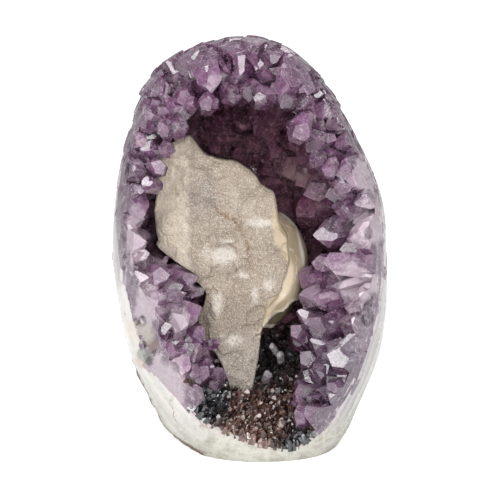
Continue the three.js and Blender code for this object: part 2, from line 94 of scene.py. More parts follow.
# The same for more points of the carpet: round the calcite, on the rim and on the back wall.
NEAR_POINTS = [
    (-30, -8, 16, 4.8), (-25, -12, 13, 4.6), (-23, -18, 14, 4.8), (-29, -20, 19, 5.0), (-24, -26, 17, 5.0),
    (-21.5, -33, 16, 4.6), (-28, -33, 21, 4.8), (-21, -41, 19, 4.6), (-34, -12, 19, 4.8),
    (-36, -27, 21, 4.6), (21, -24, 12, 5.0), (26, -24, 16, 5.0), (22, -32, 13, 5.0), (28, -33, 18, 5.2),
    (22.5, -42, 17, 4.8), (20, -49, 18, 4.6), (27, -52, 22, 4.8), (31, -42, 22, 5.0), (33, -32, 20, 5.0),
    (24, -58, 22, 4.2), (-31, -5, 9, 4.4), (-24, -7, 3, 4.6), (-31, -14, 15, 4.6), (-22, -15.5, 9, 4.4),
    (-34, -20, 17, 4.4), (-27, -27, 15, 4.8), (-20, -30, 11, 4.4), (-32, -33, 19, 4.2),
    (-23, -40, 18, 4.4), (-38, 0, 16, 4.2), (-40, -18, 20, 4.0), (-37, 38, 13, 5.0), (-30, 47, 4, 5.2),
    (-24, 55, 8, 4.8), (20, -20, 3, 5.0), (17, -31, 6, 4.6), (26, -36, 13, 5.2), (19.5, -44, 12, 4.6),
    (18, -52, 15, 4.2), (30, -38, 18, 5.0), (24, -50, 19, 4.8), (29, -4, 9, 5.2), (24, -10, 0, 5.0),
    (33, 1, 14, 5.0), (20, 20, -10, 6.0), (28, 20, 0, 5.4), (14, 38, -12, 6.4), (5, 42, -15, 6.2),
    (-9, 44, -15, 6.4), (-14, 52, -6, 6.2), (-4, 54, -6, 6.4), (6, 54, -5, 6.2), (15, 53, 0, 5.6),
    (-24, 58, 12, 5.4), (2, 62, 12, 5.4), (18, 48, 6, 5.4), (26, 39, 2, 5.8), (22, 40, -8, 5.8),
    (31, 29, 6, 5.4), (33, -14, 14, 5.2), (-9, 62, 12, 5.2), (-20, 64, 14, 5.0), (15, 64, 14, 5.0),
    (4, 70, 10, 4.8), (27, 55, 10, 5.0), (-17.5, -14, 10, 4.6), (-18.5, -20, 12, 4.8),
    (-17.5, -27, 12, 4.6), (-18.5, -34, 13, 4.6), (-20, -9, 8, 4.8), (-25, -19, 17, 5.2),
    (-25, -31, 18, 5.0), (-30, -15, 18, 5.0), (-29, -26, 20, 4.8), (18, -9, 5, 5.6), (18.5, -16, 8, 5.6),
    (17.5, -22.5, 9, 5.2), (15, -28, 8, 4.6), (23, -4, 5, 5.6), (23, -17, 12, 5.4), (21.5, -28, 12, 5.2),
    (18.5, -37, 12, 4.8), (18, 12, -12, 6.6), (25, 14, -10, 6.0), (12, 28, -15, 6.6), (19, 32, -12, 6.6),
    (0, 36, -18, 6.6), (8, 46, -12, 6.6), (-12, 40, -18, 6.4), (28, 34, -2, 6.2), (17, 24, -14, 6.6),
    (30, 22, 8, 5.6), (24, 5, 0, 6.0),
]
BED_NODES = sorted(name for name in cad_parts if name.startswith("amethyst_bed"))


def to_row(p):
    """Face frame in millimetres to the row frame in metres."""
    s, c = math.sin(FACE_LEAN), math.cos(FACE_LEAN)
    x, v, w = p[..., 0], p[..., 1], p[..., 2]
    return MM * np.stack([x + CENTRING[0], v * s - w * c + CENTRING[1], FACE_HEIGHT + v * c + w * s], -1)


def to_face(q):
    """Row frame in metres to the face frame in millimetres."""
    s, c = math.sin(FACE_LEAN), math.cos(FACE_LEAN)
    x, y, z = q[..., 0] / MM - CENTRING[0], q[..., 1] / MM - CENTRING[1], q[..., 2] / MM - FACE_HEIGHT
    return np.stack([x, y * s + z * c, -y * c + z * s], -1)


def smoothstep(low, high, t):
    u = np.clip((t - low) / (high - low), 0, 1)
    return u * u * (3 - 2 * u)


def unit(v):
    return v / np.linalg.norm(v, axis=-1, keepdims=True)


# ---------------------------------------------------------------- the stone's surfaces
def outline_radius(outline):
    """The distance from the face's origin to a closed smooth outline, as a function of the angle."""
    corner = np.array(outline, float)
    angle = np.arctan2(corner[:, 1], corner[:, 0]) % TAU
    order = np.argsort(angle)
    angle, radius = angle[order], np.hypot(corner[:, 0], corner[:, 1])[order]
    a = np.concatenate([angle - TAU, angle, angle + TAU])
    r = np.tile(radius, 3)
    slope = np.gradient(r, a)

    def at(theta):
        t = np.mod(theta, TAU)
        i = np.searchsorted(a, t) - 1
        h = a[i + 1] - a[i]
        u = (t - a[i]) / h
        rise = (1 + 2 * u) * (1 - u) ** 2 * r[i] + u * (1 - u) ** 2 * h * slope[i]
        return rise + u * u * (3 - 2 * u) * r[i + 1] + u * u * (u - 1) * h * slope[i + 1]

    return at


stone_radius = outline_radius(STONE_OUTLINE)
cavity_radius = outline_radius(CAVITY_OUTLINE)


def stone_field(p):
    """Below 0 inside the stone, above 0 outside."""
    x, v, w = p[..., 0], p[..., 1], p[..., 2]
    height = FACE_HEIGHT + v * math.cos(FACE_LEAN) + w * math.sin(FACE_LEAN)
    narrow = smoothstep(-35, -62, v) * np.where(x < 0, 0.07, 0.045)
    corner = smoothstep(9, -1, height) ** 2 * np.where(x < 0, 0.16, 0.05)
    x = x * (1 + narrow + corner)
    angle = np.arctan2(v, x)
    heel = 1 + HEEL * np.maximum(0, -np.sin(angle)) ** 2 * smoothstep(0, BACK_DEPTH, -w)
    across = np.hypot(x, v) / stone_radius(angle) / heel
    deep = np.abs(w) / np.where(w > 0, FRONT_DEPTH, BACK_DEPTH)
    return (across ** 2.2 + deep ** 2.2) ** (1 / 2.2) - 1


def cavity_field(p):
    """The same for the wall that the crystals grow from."""
    x, v, w = p[..., 0], p[..., 1], p[..., 2]
    angle = np.arctan2(v, x)
    flare = FLOOR_FLARE * np.maximum(0, -np.sin(angle)) ** 2
    across = np.maximum(0, np.hypot(x, v) - flare * w) / cavity_radius(angle)
    power = np.where(w > 0, 3.0, 2.3)
    deep = np.abs(w) / np.where(w > 0, CAVITY_FRONT, CAVITY_BACK)
    return (across ** power + deep ** power) ** (1 / power) - 1


def reach(field, start, direction):
    """How far along each direction, from a start inside it, a field crosses 0."""
    near = np.zeros(len(direction))
    far = np.full(len(direction), 170.0)
    for _ in range(34):
        middle = (near + far) / 2
        inside = field(start + direction * middle[:, None]) < 0
        near = np.where(inside, middle, near)
        far = np.where(inside, far, middle)
    return near


def on_surface(field, rays):
    """Where rays from the face's origin meet a field's surface."""
    return rays * reach(field, np.zeros((1, 3)), rays)[:, None]


def crest_drop(p):
    """How far the stone's skin lies under the crystals that stand out of it at the crest."""
    return 3.4 * smoothstep(22, 42, p[:, 1]) * smoothstep(-26, -10, p[:, 2])


def outward(field, p):
    """The outward normals of a field's surface."""
    h = 0.2
    steps = [np.array([h, 0, 0]), np.array([0, h, 0]), np.array([0, 0, h])]
    return unit(np.stack([field(p + s) - field(p - s) for s in steps], -1))


def lattice_noise(p, size, seed):
    """Smooth noise from -1 to 1 with lumps of a size in millimetres."""
    q = p / size + 17.3 * seed
    cell = np.floor(q).astype(np.int64)
    f = q - cell
    u = f * f * (3 - 2 * f)
    total = np.zeros(len(p))
    for corner in range(8):
        step = np.array([corner & 1, corner >> 1 & 1, corner >> 2 & 1])
        n = cell + step
        mixed = (n[:, 0] * 73856093) ^ (n[:, 1] * 19349663) ^ (n[:, 2] * 83492791) ^ (seed * 2654435761)
        mixed = (mixed ^ (mixed >> 13)) * 1274126177 & 0xFFFFFFFF
        value = ((mixed ^ (mixed >> 16)) & 0xFFFF) / 32767.5 - 1
        total += value * np.prod(np.where(step == 1, u, 1 - u), axis=1)
    return total


def layered_noise(p, size, seed, layers=4):
    """Noise with ever finer lumps on it."""
    return sum(lattice_noise(p, size / 2 ** k, seed + k) / 2 ** k for k in range(layers))


def within(outline, p):
    """Whether places lie within an outline of the face."""
    x, v = p[:, 0], p[:, 1]
    inside = np.zeros(len(p), bool)
    for (x0, v0), (x1, v1) in zip(outline, outline[1:] + outline[:1]):
        crosses = (v0 > v) != (v1 > v)
        with np.errstate(divide="ignore", invalid="ignore"):
            inside ^= crosses & (x < (x1 - x0) * (v - v0) / (v1 - v0) + x0)
    return inside


def line_distance(line, p):
    """The distance from places to an open line of the face."""
    p = p[:, :2]
    best = np.full(len(p), 1e9)
    for a, b in zip(line, line[1:]):
        a, b = np.array(a, float), np.array(b, float)
        t = np.clip(((p - a) @ (b - a)) / ((b - a) @ (b - a)), 0, 1)
        best = np.minimum(best, np.linalg.norm(p - a - t[..., None] * (b - a), axis=-1))
    return best


def outline_distance(outline, p):
    """The distance from places to an outline of the face, below 0 inside."""
    best = line_distance(outline + outline[:1], p)
    return np.where(within(outline, p), -best, best)


# ---------------------------------------------------------------- pieces
def attach(mesh, name, values, domain="POINT", kind="FLOAT"):
    """A named value on each point or face of a mesh."""
    layer = mesh.attributes.new(name, kind, domain)
    key = "vector" if kind == "FLOAT_VECTOR" else "value"
    layer.data.foreach_set(key, np.asarray(values, np.float32).ravel())


def place_piece(name, mesh, nodes, materials):
    """Makes a mesh a piece of the geode that stands for CAD nodes."""
    piece = bpy.data.objects.new(name, mesh)
    scene.collection.objects.link(piece)
    for material in materials:
        mesh.materials.append(material)
    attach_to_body(piece, "root")
    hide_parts(*nodes)
    return piece


def plain_mesh(name, points, faces):
    """A mesh from points of the face frame, without any values on it."""
    mesh = bpy.data.meshes.new(name)
    mesh.from_pydata(to_row(points).tolist(), [], faces)
    return mesh


def mesh_from(name, points, faces):
    """The same, with the points remembered in millimetres."""
    mesh = plain_mesh(name, points, faces)
    attach(mesh, "face_mm", points, kind="FLOAT_VECTOR")
    return mesh


def places_of(parts, key):
    """Where a mesh's points ("co") or faces ("center") are in the face frame."""
    places = np.zeros(len(parts) * 3)
    parts.foreach_get(key, places)
    return to_face(places.reshape(-1, 3))


def joined_or_cut(mesh, tool, operation):
    """The mesh with a tool mesh cut out of it, joined to it or kept in common."""
    work = bpy.data.objects.new("work", mesh)
    other = bpy.data.objects.new("other", tool)
    scene.collection.objects.link(work)
    scene.collection.objects.link(other)
    cut = work.modifiers.new("cut", "BOOLEAN")
    cut.operation, cut.object, cut.solver = operation, other, "MANIFOLD"
    result = bpy.data.meshes.new_from_object(work.evaluated_get(bpy.context.evaluated_depsgraph_get()))
    for used in (work, other):
        bpy.data.objects.remove(used)
    return result


def sphere_directions(steps):
    """Evenly spread directions and the triangles between them."""
    ball = bmesh.new()
    bmesh.ops.create_icosphere(ball, subdivisions=steps, radius=1)
    directions = np.array([corner.co for corner in ball.verts])
    faces = [[corner.index for corner in face.verts] for face in ball.faces]
    ball.free()
    directions[:, 1] *= TALL
    return unit(directions), faces


# ---------------------------------------------------------------- crystals
PYRAMID = math.radians(51.8)
SIDE_FACE, END_FACE, CUT_FACE = 1, 2, 3
SIDE_POINT_SHARE = 0.45
TRIPLES = {n: np.array(list(combinations(range(n), 3))) for n in range(8, 20)}
DOWN = np.array([0.0, -math.cos(FACE_LEAN), -math.sin(FACE_LEAN)])
BASE_PLANE = (DOWN, FACE_HEIGHT - 0.4)


def solid_between(normals, offsets):
    """Corners and faces of the solid that planes enclose, with the plane of each face."""
    triples = TRIPLES[len(offsets)]
    planes = normals[triples]
    crossing = np.abs(np.linalg.det(planes)) > 1e-5
    corners = np.linalg.solve(planes[crossing], offsets[triples[crossing]][..., None])[..., 0]
    corners = corners[(corners @ normals.T < offsets + 1e-5).all(1)]
    _, first = np.unique(np.round(corners / 0.004).astype(int), axis=0, return_index=True)
    corners = corners[first]
    faces, owners = [], []
    for k in range(len(offsets)):
        on = np.nonzero(np.abs(corners @ normals[k] - offsets[k]) < 3e-3)[0]
        if len(on) < 3:
            continue
        side = unit(np.cross(normals[k], [0.31, 0.52, 0.79]))
        other = np.cross(normals[k], side)
        away = corners[on] - corners[on].mean(0)
        faces.append(on[np.argsort(np.arctan2(away @ other, away @ side))].tolist())
        owners.append(k)
    return corners, faces, owners


def grow_point(root, axis, length, half_width, rng, cuts=()):
    """One quartz point: six uneven sides, three large and three small end faces, and the planes
    that cut it. Returns its corners, faces and the kind of each face."""
    side = unit(np.cross(axis, rng.normal(size=3)))
    across = np.cross(axis, side)
    normals, offsets, kinds = [-axis], [-(root @ axis)], [0]
    tip = root + axis * length
    for k in range(6):
        angle = k * TAU / 6 + rng.normal() * 0.05
        face = side * math.cos(angle) + across * math.sin(angle)
        lean = unit(face + axis * rng.uniform(0.02, 0.12))
        normals.append(lean)
        offsets.append(lean @ root + half_width * rng.uniform(0.8, 1.18))
        kinds.append(SIDE_FACE)
        back = half_width * (rng.uniform(0.15, 0.6) if k % 2 else rng.uniform(0.0, 0.12))
        end = unit(face * math.sin(PYRAMID) + axis * math.cos(PYRAMID) + rng.normal(size=3) * 0.05)
        normals.append(end)
        offsets.append(end @ tip + back)
        kinds.append(END_FACE)
    for normal, offset in cuts:
        normals.append(normal)
        offsets.append(offset)
        kinds.append(CUT_FACE)
    corners, faces, owners = solid_between(np.array(normals), np.array(offsets))
    return corners, faces, [kinds[k] for k in owners]


class CrystalGroup:
    """Collects crystals into one mesh with their growth values."""

    def __init__(self):
        self.points, self.faces = [], []
        self.along, self.tint, self.facet, self.kind = [], [], [], []
        self.count = 0

    def add(self, corners, faces, kinds, along, tint, rng):
        if len(faces) < 4:
            return
        self.points.append(corners)
        self.faces += [[self.count + i for i in face] for face in faces]
        self.along.append(np.clip(along, 0, 1))
        self.tint += [tint] * len(faces)
        self.facet += rng.random(len(faces)).tolist()
        self.kind += kinds
        self.count += len(corners)

    def grow(self, root, axis, length, half_width, rng, cuts=()):
        """Adds one quartz point, with a small second one on its side here and there."""
        tint = rng.random()
        corners, faces, kinds = grow_point(root, axis, length, half_width, rng, cuts)
        self.add(corners, faces, kinds, (corners - root) @ axis / length, tint, rng)
        if rng.random() < SIDE_POINT_SHARE:
            turned = unit(axis + rng.normal(size=3) * 0.35)
            foot = root + unit(rng.normal(size=3)) * half_width * 0.55
            half = half_width * rng.uniform(0.45, 0.75)
            corners, faces, kinds = grow_point(foot, turned, length * rng.uniform(0.7, 0.98), half, rng, cuts)
            self.add(corners, faces, kinds, (corners - foot) @ turned / length, (tint + 0.2) % 1, rng)

    def grow_polished(self, root, axis, length, half_width, rng):
        """The same, with the polished surface cut over it."""
        cuts = polished_planes(root, root + axis * length, half_width, rng)
        self.grow(root, axis, length, half_width, rng, cuts)

    def mesh(self, name):
        mesh = mesh_from(name, np.concatenate(self.points), self.faces)
        attach(mesh, "along", np.concatenate(self.along))
        attach(mesh, "tint", self.tint, "FACE")
        attach(mesh, "facet", self.facet, "FACE")
        attach(mesh, "polish", [float(kind == CUT_FACE) for kind in self.kind], "FACE")
        return mesh


def root_behind(tip):
    """Root, growth direction and length of a crystal whose tip is given."""
    middle = np.array([[0, 0, min(tip[2], 0) * 0.3]])
    ray = unit(tip[None] - middle)
    wall = middle + ray * reach(cavity_field, middle, ray)[:, None]
    forward = 0.25 + 0.5 * float(smoothstep(40, 62, tip[1]))
    axis = unit(-outward(cavity_field, wall)[0] + np.array([0, 0, forward]))
    length = reach(cavity_field, tip[None], -axis[None])[0] - 1
    return tip - axis * length, axis, length


def polished_planes(root, tip, half_width, rng):
    """The planes that follow the polished surface over a crystal, none for one that ends inside.
    At the crest the natural tips stand a little out of it."""
    planes = [BASE_PLANE] if to_row(np.minimum(root, tip))[2] < 0.012 else []
    if stone_field(tip[None])[0] < -0.16 and stone_field(root[None])[0] < -0.16:
        return planes
    natural = rng.uniform(-1.0, 0.3) * float(smoothstep(20, 40, tip[1])) \
        + rng.uniform(0.0, 2.6) * float(smoothstep(46, 60, tip[1]))
    middle = (root + 2 * tip) / 3
    side = unit(np.cross(middle, [0.0, 0.0, 1.0]))
    over = unit(np.cross(side, unit(middle)))
    spots = np.stack([middle + half_width * 0.55 * (a * side + b * over) for b in (1, -1) for a in (1, -1)])
    rays = unit(spots)
    spots = on_surface(stone_field, rays)
    normals = outward(stone_field, spots)
    return planes + [(n, n @ p + natural) for n, p in zip(normals, spots)]


def wall_spots(tries, spacing, rng, keep):
    """Places on the cavity wall, no closer than the spacing, where keep(places) is true."""
    rays = rng.normal(size=(tries, 3))
    rays[:, 1] *= TALL
    rays = unit(rays)
    spots = on_surface(cavity_field, rays)
    spots = spots[(stone_field(spots) < 0.03) & keep(spots)]
    kept = np.zeros((0, 3))
    for spot in spots:
        if len(kept) == 0 or np.min(np.sum((kept - spot) ** 2, axis=1)) > spacing ** 2:
            kept = np.vstack([kept, spot])
    return kept


# ---------------------------------------------------------------- node wiring
class Bench:
    """Places and wires the nodes of one material or node group."""

    def __init__(self, tree):
        self.tree = tree

    def wire(self, node, wires):
        """Joins sockets to a node's inputs, or sets plain values on them."""
        for socket, value in dict(wires).items():
            target = node.inputs[socket]
            if isinstance(value, bpy.types.NodeSocket):
                self.tree.links.new(value, target)
            elif target.type == "RGBA":
                target.default_value = (*value, 1)
            else:
                target.default_value = value
        return node.outputs

    def put(self, kind, wires=(), **settings):
        node = self.tree.nodes.new("ShaderNode" + kind)
        for key, value in settings.items():
            setattr(node, key, value)
        return self.wire(node, wires)

    def math(self, operation, a, b=0.0, clamp=False):
        return self.put("Math", {0: a, 1: b}, operation=operation, use_clamp=clamp)[0]

    def times(self, a, b):
        return self.math("MULTIPLY", a, b)

    def plus(self, a, b):
        return self.math("ADD", a, b)

    def minus(self, a, b):
        return self.math("SUBTRACT", a, b)

    def vector(self, operation, a, b=(0, 0, 0), output="Vector"):
        return self.put("VectorMath", {0: a, 1: b}, operation=operation)[output]

    def channel(self, colour, index):
        return self.put("SeparateColor", {0: colour})[index]

    def mix(self, factor, a, b, blend="MIX"):
        return self.put("Mix", {0: factor, 6: a, 7: b}, data_type="RGBA", blend_type=blend)[2]

    def over(self, under, top, mask, strength):
        """One colour laid over another where a mask is 1, at a strength."""
        return self.mix(self.times(mask, strength), under, top)

    def blend_value(self, factor, a, b):
        return self.put("Mix", {0: factor, 2: a, 3: b}, data_type="FLOAT")[0]

    def range(self, value, low, high, to_low=0.0, to_high=1.0):
        wires = {0: value, 1: low, 2: high, 3: to_low, 4: to_high}
        return self.put("MapRange", wires, interpolation_type="SMOOTHSTEP")[0]

    def blotches(self, vector, scale, low, high, *shape):
        """1 where noise is above a level, 0 where it is below another."""
        return self.range(self.noise(vector, scale, *shape), low, high)

    def layers(self, colour, *layers):
        """Mask, strength and colour of each layer that goes over a colour."""
        for mask, strength, top in layers:
            colour = self.over(colour, top, mask, strength)
        return colour

    def ramp(self, factor, stops):
        node = self.tree.nodes.new("ShaderNodeValToRGB")
        elements = node.color_ramp.elements
        while len(elements) < len(stops):
            elements.new(0.5)
        for element, (place, colour) in zip(elements, stops):
            element.position = place
            element.color = (*colour, 1)
        return self.wire(node, {0: factor})[0]

    def noise(self, vector, scale, detail=3.0, roughness=0.55, distortion=0.0, output=0):
        wires = {"Vector": vector, "Scale": scale, "Detail": detail}
        wires.update({"Roughness": roughness, "Distortion": distortion})
        return self.put("TexNoise", wires)[output]

    def cells(self, vector, scale, feature="F1", distance="EUCLIDEAN"):
        return self.put("TexVoronoi", {"Vector": vector, "Scale": scale}, feature=feature, distance=distance)

    def cell_edges(self, vector, scale):
        return self.cells(vector, scale, feature="DISTANCE_TO_EDGE")["Distance"]

    def value_of(self, name):
        return self.put("Attribute", attribute_name=name)["Fac"]

    def place(self):
        return self.put("Attribute", attribute_name="face_mm")["Vector"]

    def group(self, tree, wires):
        return self.put("Group", wires, node_tree=tree)

    def patch(self, place, centre, size, ragged=0.5, grain=0.3):
        """A ragged patch round a centre: 1 inside, 0 outside."""
        wires = {"Place": place, "Centre": centre, "Size": size, "Raggedness": ragged, "Grain": grain}
        return self.group(RAGGED_PATCH, wires)["Mask"]

    def bump(self, height, strength, distance):
        return self.put("Bump", {"Height": height, "Strength": strength, "Distance": distance})[0]


def start_material(name):
    material = bpy.data.materials.new(name)
    material.use_nodes = True
    material.node_tree.nodes.clear()
    return material, Bench(material.node_tree)


def finish_material(material, bench, sockets):
    """The shader with its values, and the material's output."""
    surface = bench.put("BsdfPrincipled", sockets)
    bench.put("OutputMaterial", {0: surface[0]})
    return material


def start_group(name, inputs, outputs):
    """An empty node group with named sockets. Returns its bench and the sockets that it takes."""
    tree = bpy.data.node_groups.new(name, "ShaderNodeTree")
    for label, kind, default in inputs:
        socket = tree.interface.new_socket(label, in_out="INPUT", socket_type="NodeSocket" + kind)
        if default is not None:
            socket.default_value = (*default, 1) if kind == "Color" else default
    for label, kind in outputs:
        tree.interface.new_socket(label, in_out="OUTPUT", socket_type="NodeSocket" + kind)
    return Bench(tree), tree.nodes.new("NodeGroupInput").outputs


def finish_group(bench, results):
    """The end of a node group, with its results wired to it."""
    bench.wire(bench.tree.nodes.new("NodeGroupOutput"), results)
    return bench.tree


def ragged_group():
    """A ragged patch round a centre: 1 inside, 0 outside."""
    bench, take = start_group(
        "ragged_patch",
        [("Place", "Vector", None), ("Centre", "Vector", None), ("Size", "Vector", (5, 5, 5)),
         ("Raggedness", "Float", 0.5), ("Grain", "Float", 0.3)],
        [("Mask", "Float")],
    )
    scaled = bench.vector("DIVIDE", bench.vector("SUBTRACT", take["Place"], take["Centre"]), take["Size"])
    distance = bench.vector("LENGTH", scaled, output="Value")
    lumps = bench.minus(bench.noise(take["Place"], take["Grain"], 4, 0.6), 0.5)
    ragged = bench.plus(distance, bench.times(lumps, bench.times(take["Raggedness"], 3.0)))
    return finish_group(bench, {"Mask": bench.range(ragged, 1.15, 0.7)})


def inclusions_group():
    """Other minerals that the polish cut through at the left: cream, grey green, tan and clear chips."""
    bench, take = start_group(
        "side_inclusions", [("Place", "Vector", None), ("Stone", "Color", (0.5, 0.5, 0.5))],
        [("Color", "Color")])
    colour = take["Stone"]
    grain = bench.noise(take["Place"], 0.7, 5, 0.65)
    for centre, size, ragged, dark, light in INCLUSIONS:
        mask = bench.patch(take["Place"], centre, size, ragged, 0.35)
        colour = bench.over(colour, bench.mix(grain, dark, light), mask, 0.88)
    return finish_group(bench, {"Color": colour})


def amethyst_group():
    """What shows in violet quartz: slanted inner planes with pale lines, whose light and dark cells are also
    painted reflections, facets painted light and dark as if lit and shaded, painted shade at the roots and a
    painted highlight at the tips, smoke, milky veils, specks and threads, the chalky and the toned zones of
    the cavity, painted shade deep in the cavity, and the cloudy polished sections."""
    bench, take = start_group(
        "amethyst_body",
        [("Place", "Vector", None), ("Tint", "Float", 0.5), ("Facet", "Float", 0.5), ("Along", "Float", 0.5),
         ("Polish", "Float", 0.0), ("Plane Size", "Float", 3.0), ("Pale", "Color", (0.5, 0.4, 0.5)),
         ("Violet", "Color", (0.2, 0.1, 0.2)), ("Deep", "Color", (0.03, 0.01, 0.03)), ("Milk", "Float", 0.4)],
        [("Color", "Color"), ("Dullness", "Float"), ("Height", "Float")],
    )
    still = take["Place"]
    offset = bench.times(take["Tint"], 37.0)
    place = bench.vector("ADD", still, bench.put("CombineXYZ", {0: offset, 1: offset, 2: offset})[0])
    swirl = bench.noise(place, 0.45, roughness=0.5, output="Color")
    warped = bench.vector("ADD", place, bench.vector("MULTIPLY", swirl, (2.2, 2.2, 2.2)))
    scale = bench.math("DIVIDE", 1.0, take["Plane Size"])
    large = bench.cells(place, scale, distance="MANHATTAN")
    small = bench.cells(warped, bench.times(scale, 2.4), distance="CHEBYCHEV")
    large_shade = bench.channel(large["Color"], 0)
    small_shade = bench.channel(small["Color"], 1)
    # Cell and facet tones: partly colour zoning in the quartz, partly painted reflections of the surroundings
    # and painted light and shade that change from facet to facet.
    zoning_and_reflection = bench.plus(bench.times(large_shade, 0.32), bench.times(small_shade, 0.12))
    zoning_and_reflection = bench.plus(zoning_and_reflection, bench.times(take["Facet"], 0.36))
    zoning_and_reflection = bench.plus(zoning_and_reflection, bench.times(take["Tint"], 0.2))
    colour = bench.mix(bench.range(zoning_and_reflection, 0.2, 0.55), take["Deep"], take["Violet"])
    colour = bench.mix(bench.range(zoning_and_reflection, 0.6, 0.95), colour, take["Pale"])
    rich = bench.range(bench.noise(place, 0.24, 3), 0.5, 0.66, 0.0, 0.4)
    colour = bench.mix(rich, colour, (0.27, 0.085, 0.27))
    smoke = bench.range(bench.math("FRACT", bench.times(take["Tint"], 5.3)), 0.45, 0.75)
    smoky = bench.mix(bench.range(zoning_and_reflection, 0.35, 0.75), (0.05, 0.03, 0.042), (0.30, 0.24, 0.285))
    colour = bench.over(colour, smoky, smoke, 0.5)
    # Darker towards each point's root: painted shade between the crowded points. Paler at the tip: a painted
    # highlight.
    root = bench.range(take["Along"], 0.78, 0.2, 0.0, 0.68)
    colour = bench.mix(root, colour, bench.mix(0.4, take["Deep"], take["Violet"]))
    colour = bench.mix(bench.range(take["Along"], 0.74, 1.0, 0.0, 0.16), colour, take["Pale"])
    edges = bench.cell_edges(warped, bench.times(scale, 1.35))
    broken = bench.blotches(place, 0.5, 0.45, 0.6, 3)
    lines = bench.times(bench.range(edges, 0.05, 0.01), broken)
    colour = bench.over(colour, take["Pale"], lines, 0.62)
    veils = bench.blotches(place, 0.6, 0.5, 0.72, 6, 0.65, 1.4)
    colour = bench.mix(bench.times(veils, take["Milk"]), colour, take["Pale"])
    specks = bench.blotches(place, 3.4, 0.7, 0.76, 2, 0.5)
    colour = bench.over(colour, (0.78, 0.72, 0.76), specks, 0.35)
    threads = bench.math("ABSOLUTE", bench.minus(bench.noise(warped, 0.42, 5, 0.62), 0.5))
    threads = bench.times(bench.range(threads, 0.02, 0.004), bench.blotches(place, 0.35, 0.46, 0.58, 2))
    colour = bench.over(colour, (0.74, 0.67, 0.72), threads, 0.5)
    # The chalky zones of the cavity.
    pale_zone = None
    for centre, size in PALE_ZONES:
        mask = bench.patch(still, centre, size, 0.5, 0.25)
        pale_zone = mask if pale_zone is None else bench.math("MAXIMUM", pale_zone, mask)
    chalk = bench.mix(bench.noise(place, 0.6, 5, 0.7), (0.38, 0.21, 0.34), (1.0, 0.90, 0.94))
    colour = bench.over(colour, chalk, pale_zone, 0.82)
    # What the polish shows where it cut through the points.
    slices = bench.cells(warped, 0.24)
    slice_shade = bench.channel(slices["Color"], 2)
    rims = bench.cell_edges(warped, 0.24)
    cloud = bench.noise(still, 0.16, 8, 0.7, 0.8)
    cloud = bench.plus(cloud, bench.times(bench.minus(slice_shade, 0.5), 0.2))
    section = bench.ramp(cloud, [
        (0.32, (0.06, 0.028, 0.055)), (0.42, (0.16, 0.08, 0.145)), (0.49, (0.27, 0.19, 0.25)),
        (0.55, (0.15, 0.085, 0.145)), (0.62, (0.33, 0.27, 0.32)), (0.70, (0.56, 0.50, 0.54)),
    ])
    outline = bench.times(bench.range(rims, 0.07, 0.01), bench.blotches(place, 0.9, 0.42, 0.6, 4))
    section = bench.layers(
        section,
        (outline, 0.6, (0.64, 0.58, 0.62)),
        (lines, 0.4, (0.62, 0.57, 0.6)),
    )
    spotting = ((1.5, 0.58, 0.7, (0.70, 0.64, 0.68)), (1.1, 0.44, 0.34, (0.09, 0.05, 0.085)))
    for grain, low, high, tone in spotting:
        spotted = bench.range(bench.noise(place, grain, 5, 0.7), low, high, 0, 0.6)
        section = bench.mix(spotted, section, tone)
    white = bench.mix(bench.noise(still, 0.5, 6, 0.7), (0.44, 0.30, 0.38), (0.84, 0.78, 0.80))
    section = bench.over(section, white, pale_zone, 0.72)
    section = bench.group(SIDE_INCLUSIONS, {"Place": still, "Stone": section})["Color"]
    colour = bench.over(colour, section, take["Polish"], 0.92)
    # Zones of another tone, and quartz that is redder and darker deep in the cavity: partly a redder tone,
    # partly painted shade in the depth.
    for centre, size, tone in TONE_ZONES:
        toned = bench.mix(1.0, colour, tone, "MULTIPLY")
        colour = bench.mix(bench.patch(still, centre, size, 0.4, 0.2), colour, toned)
    sunk_tint_and_shade = bench.range(bench.put("SeparateXYZ", {0: still})[2], 2.0, -18.0, 0.0, 0.55)
    colour = bench.mix(sunk_tint_and_shade, colour, bench.mix(1.0, colour, (1.0, 0.62, 0.50), "MULTIPLY"))
    dull = bench.times(bench.math("MAXIMUM", veils, pale_zone), bench.minus(1.0, take["Polish"]))
    steps = bench.plus(bench.times(small_shade, 0.3), bench.times(bench.noise(place, 0.9, 5, 0.6), 0.6))
    steps = bench.times(steps, bench.minus(1.0, bench.times(take["Polish"], 0.7)))
    return finish_group(bench, {"Color": colour, "Dullness": dull, "Height": steps})


def sugar_group():
    """A crust of tiny grains: their height, their colour change and the few that flash."""
    bench, take = start_group(
        "sugar_crust", [("Place", "Vector", None), ("Grain Size", "Float", 0.7)],
        [("Height", "Float"), ("Shade", "Float"), ("Flash", "Float")])
    scale = bench.math("DIVIDE", 1.0, take["Grain Size"])
    coarse = bench.cells(take["Place"], scale)
    fine = bench.cells(take["Place"], bench.times(scale, 2.3))
    return finish_group(bench, {
        "Height": bench.plus(coarse["Distance"], bench.times(fine["Distance"], 0.5)),
        "Shade": bench.channel(coarse["Color"], 0),
        "Flash": bench.range(bench.channel(fine["Color"], 1), 0.84, 0.9),
    })


PALE_ZONES = [
    ((43, 12, 20), (7.5, 9, 22)), ((37, -10, 19), (10, 7, 20)), ((-31, -47, 20), (10, 12, 22)),
    ((42, 29, 15), (5, 8, 14)), ((-37, -18, 20), (5, 9, 20)), ((-41, 8, 20), (4, 12, 18)),
    ((-26, -24, 17), (3.5, 5, 20)),
]
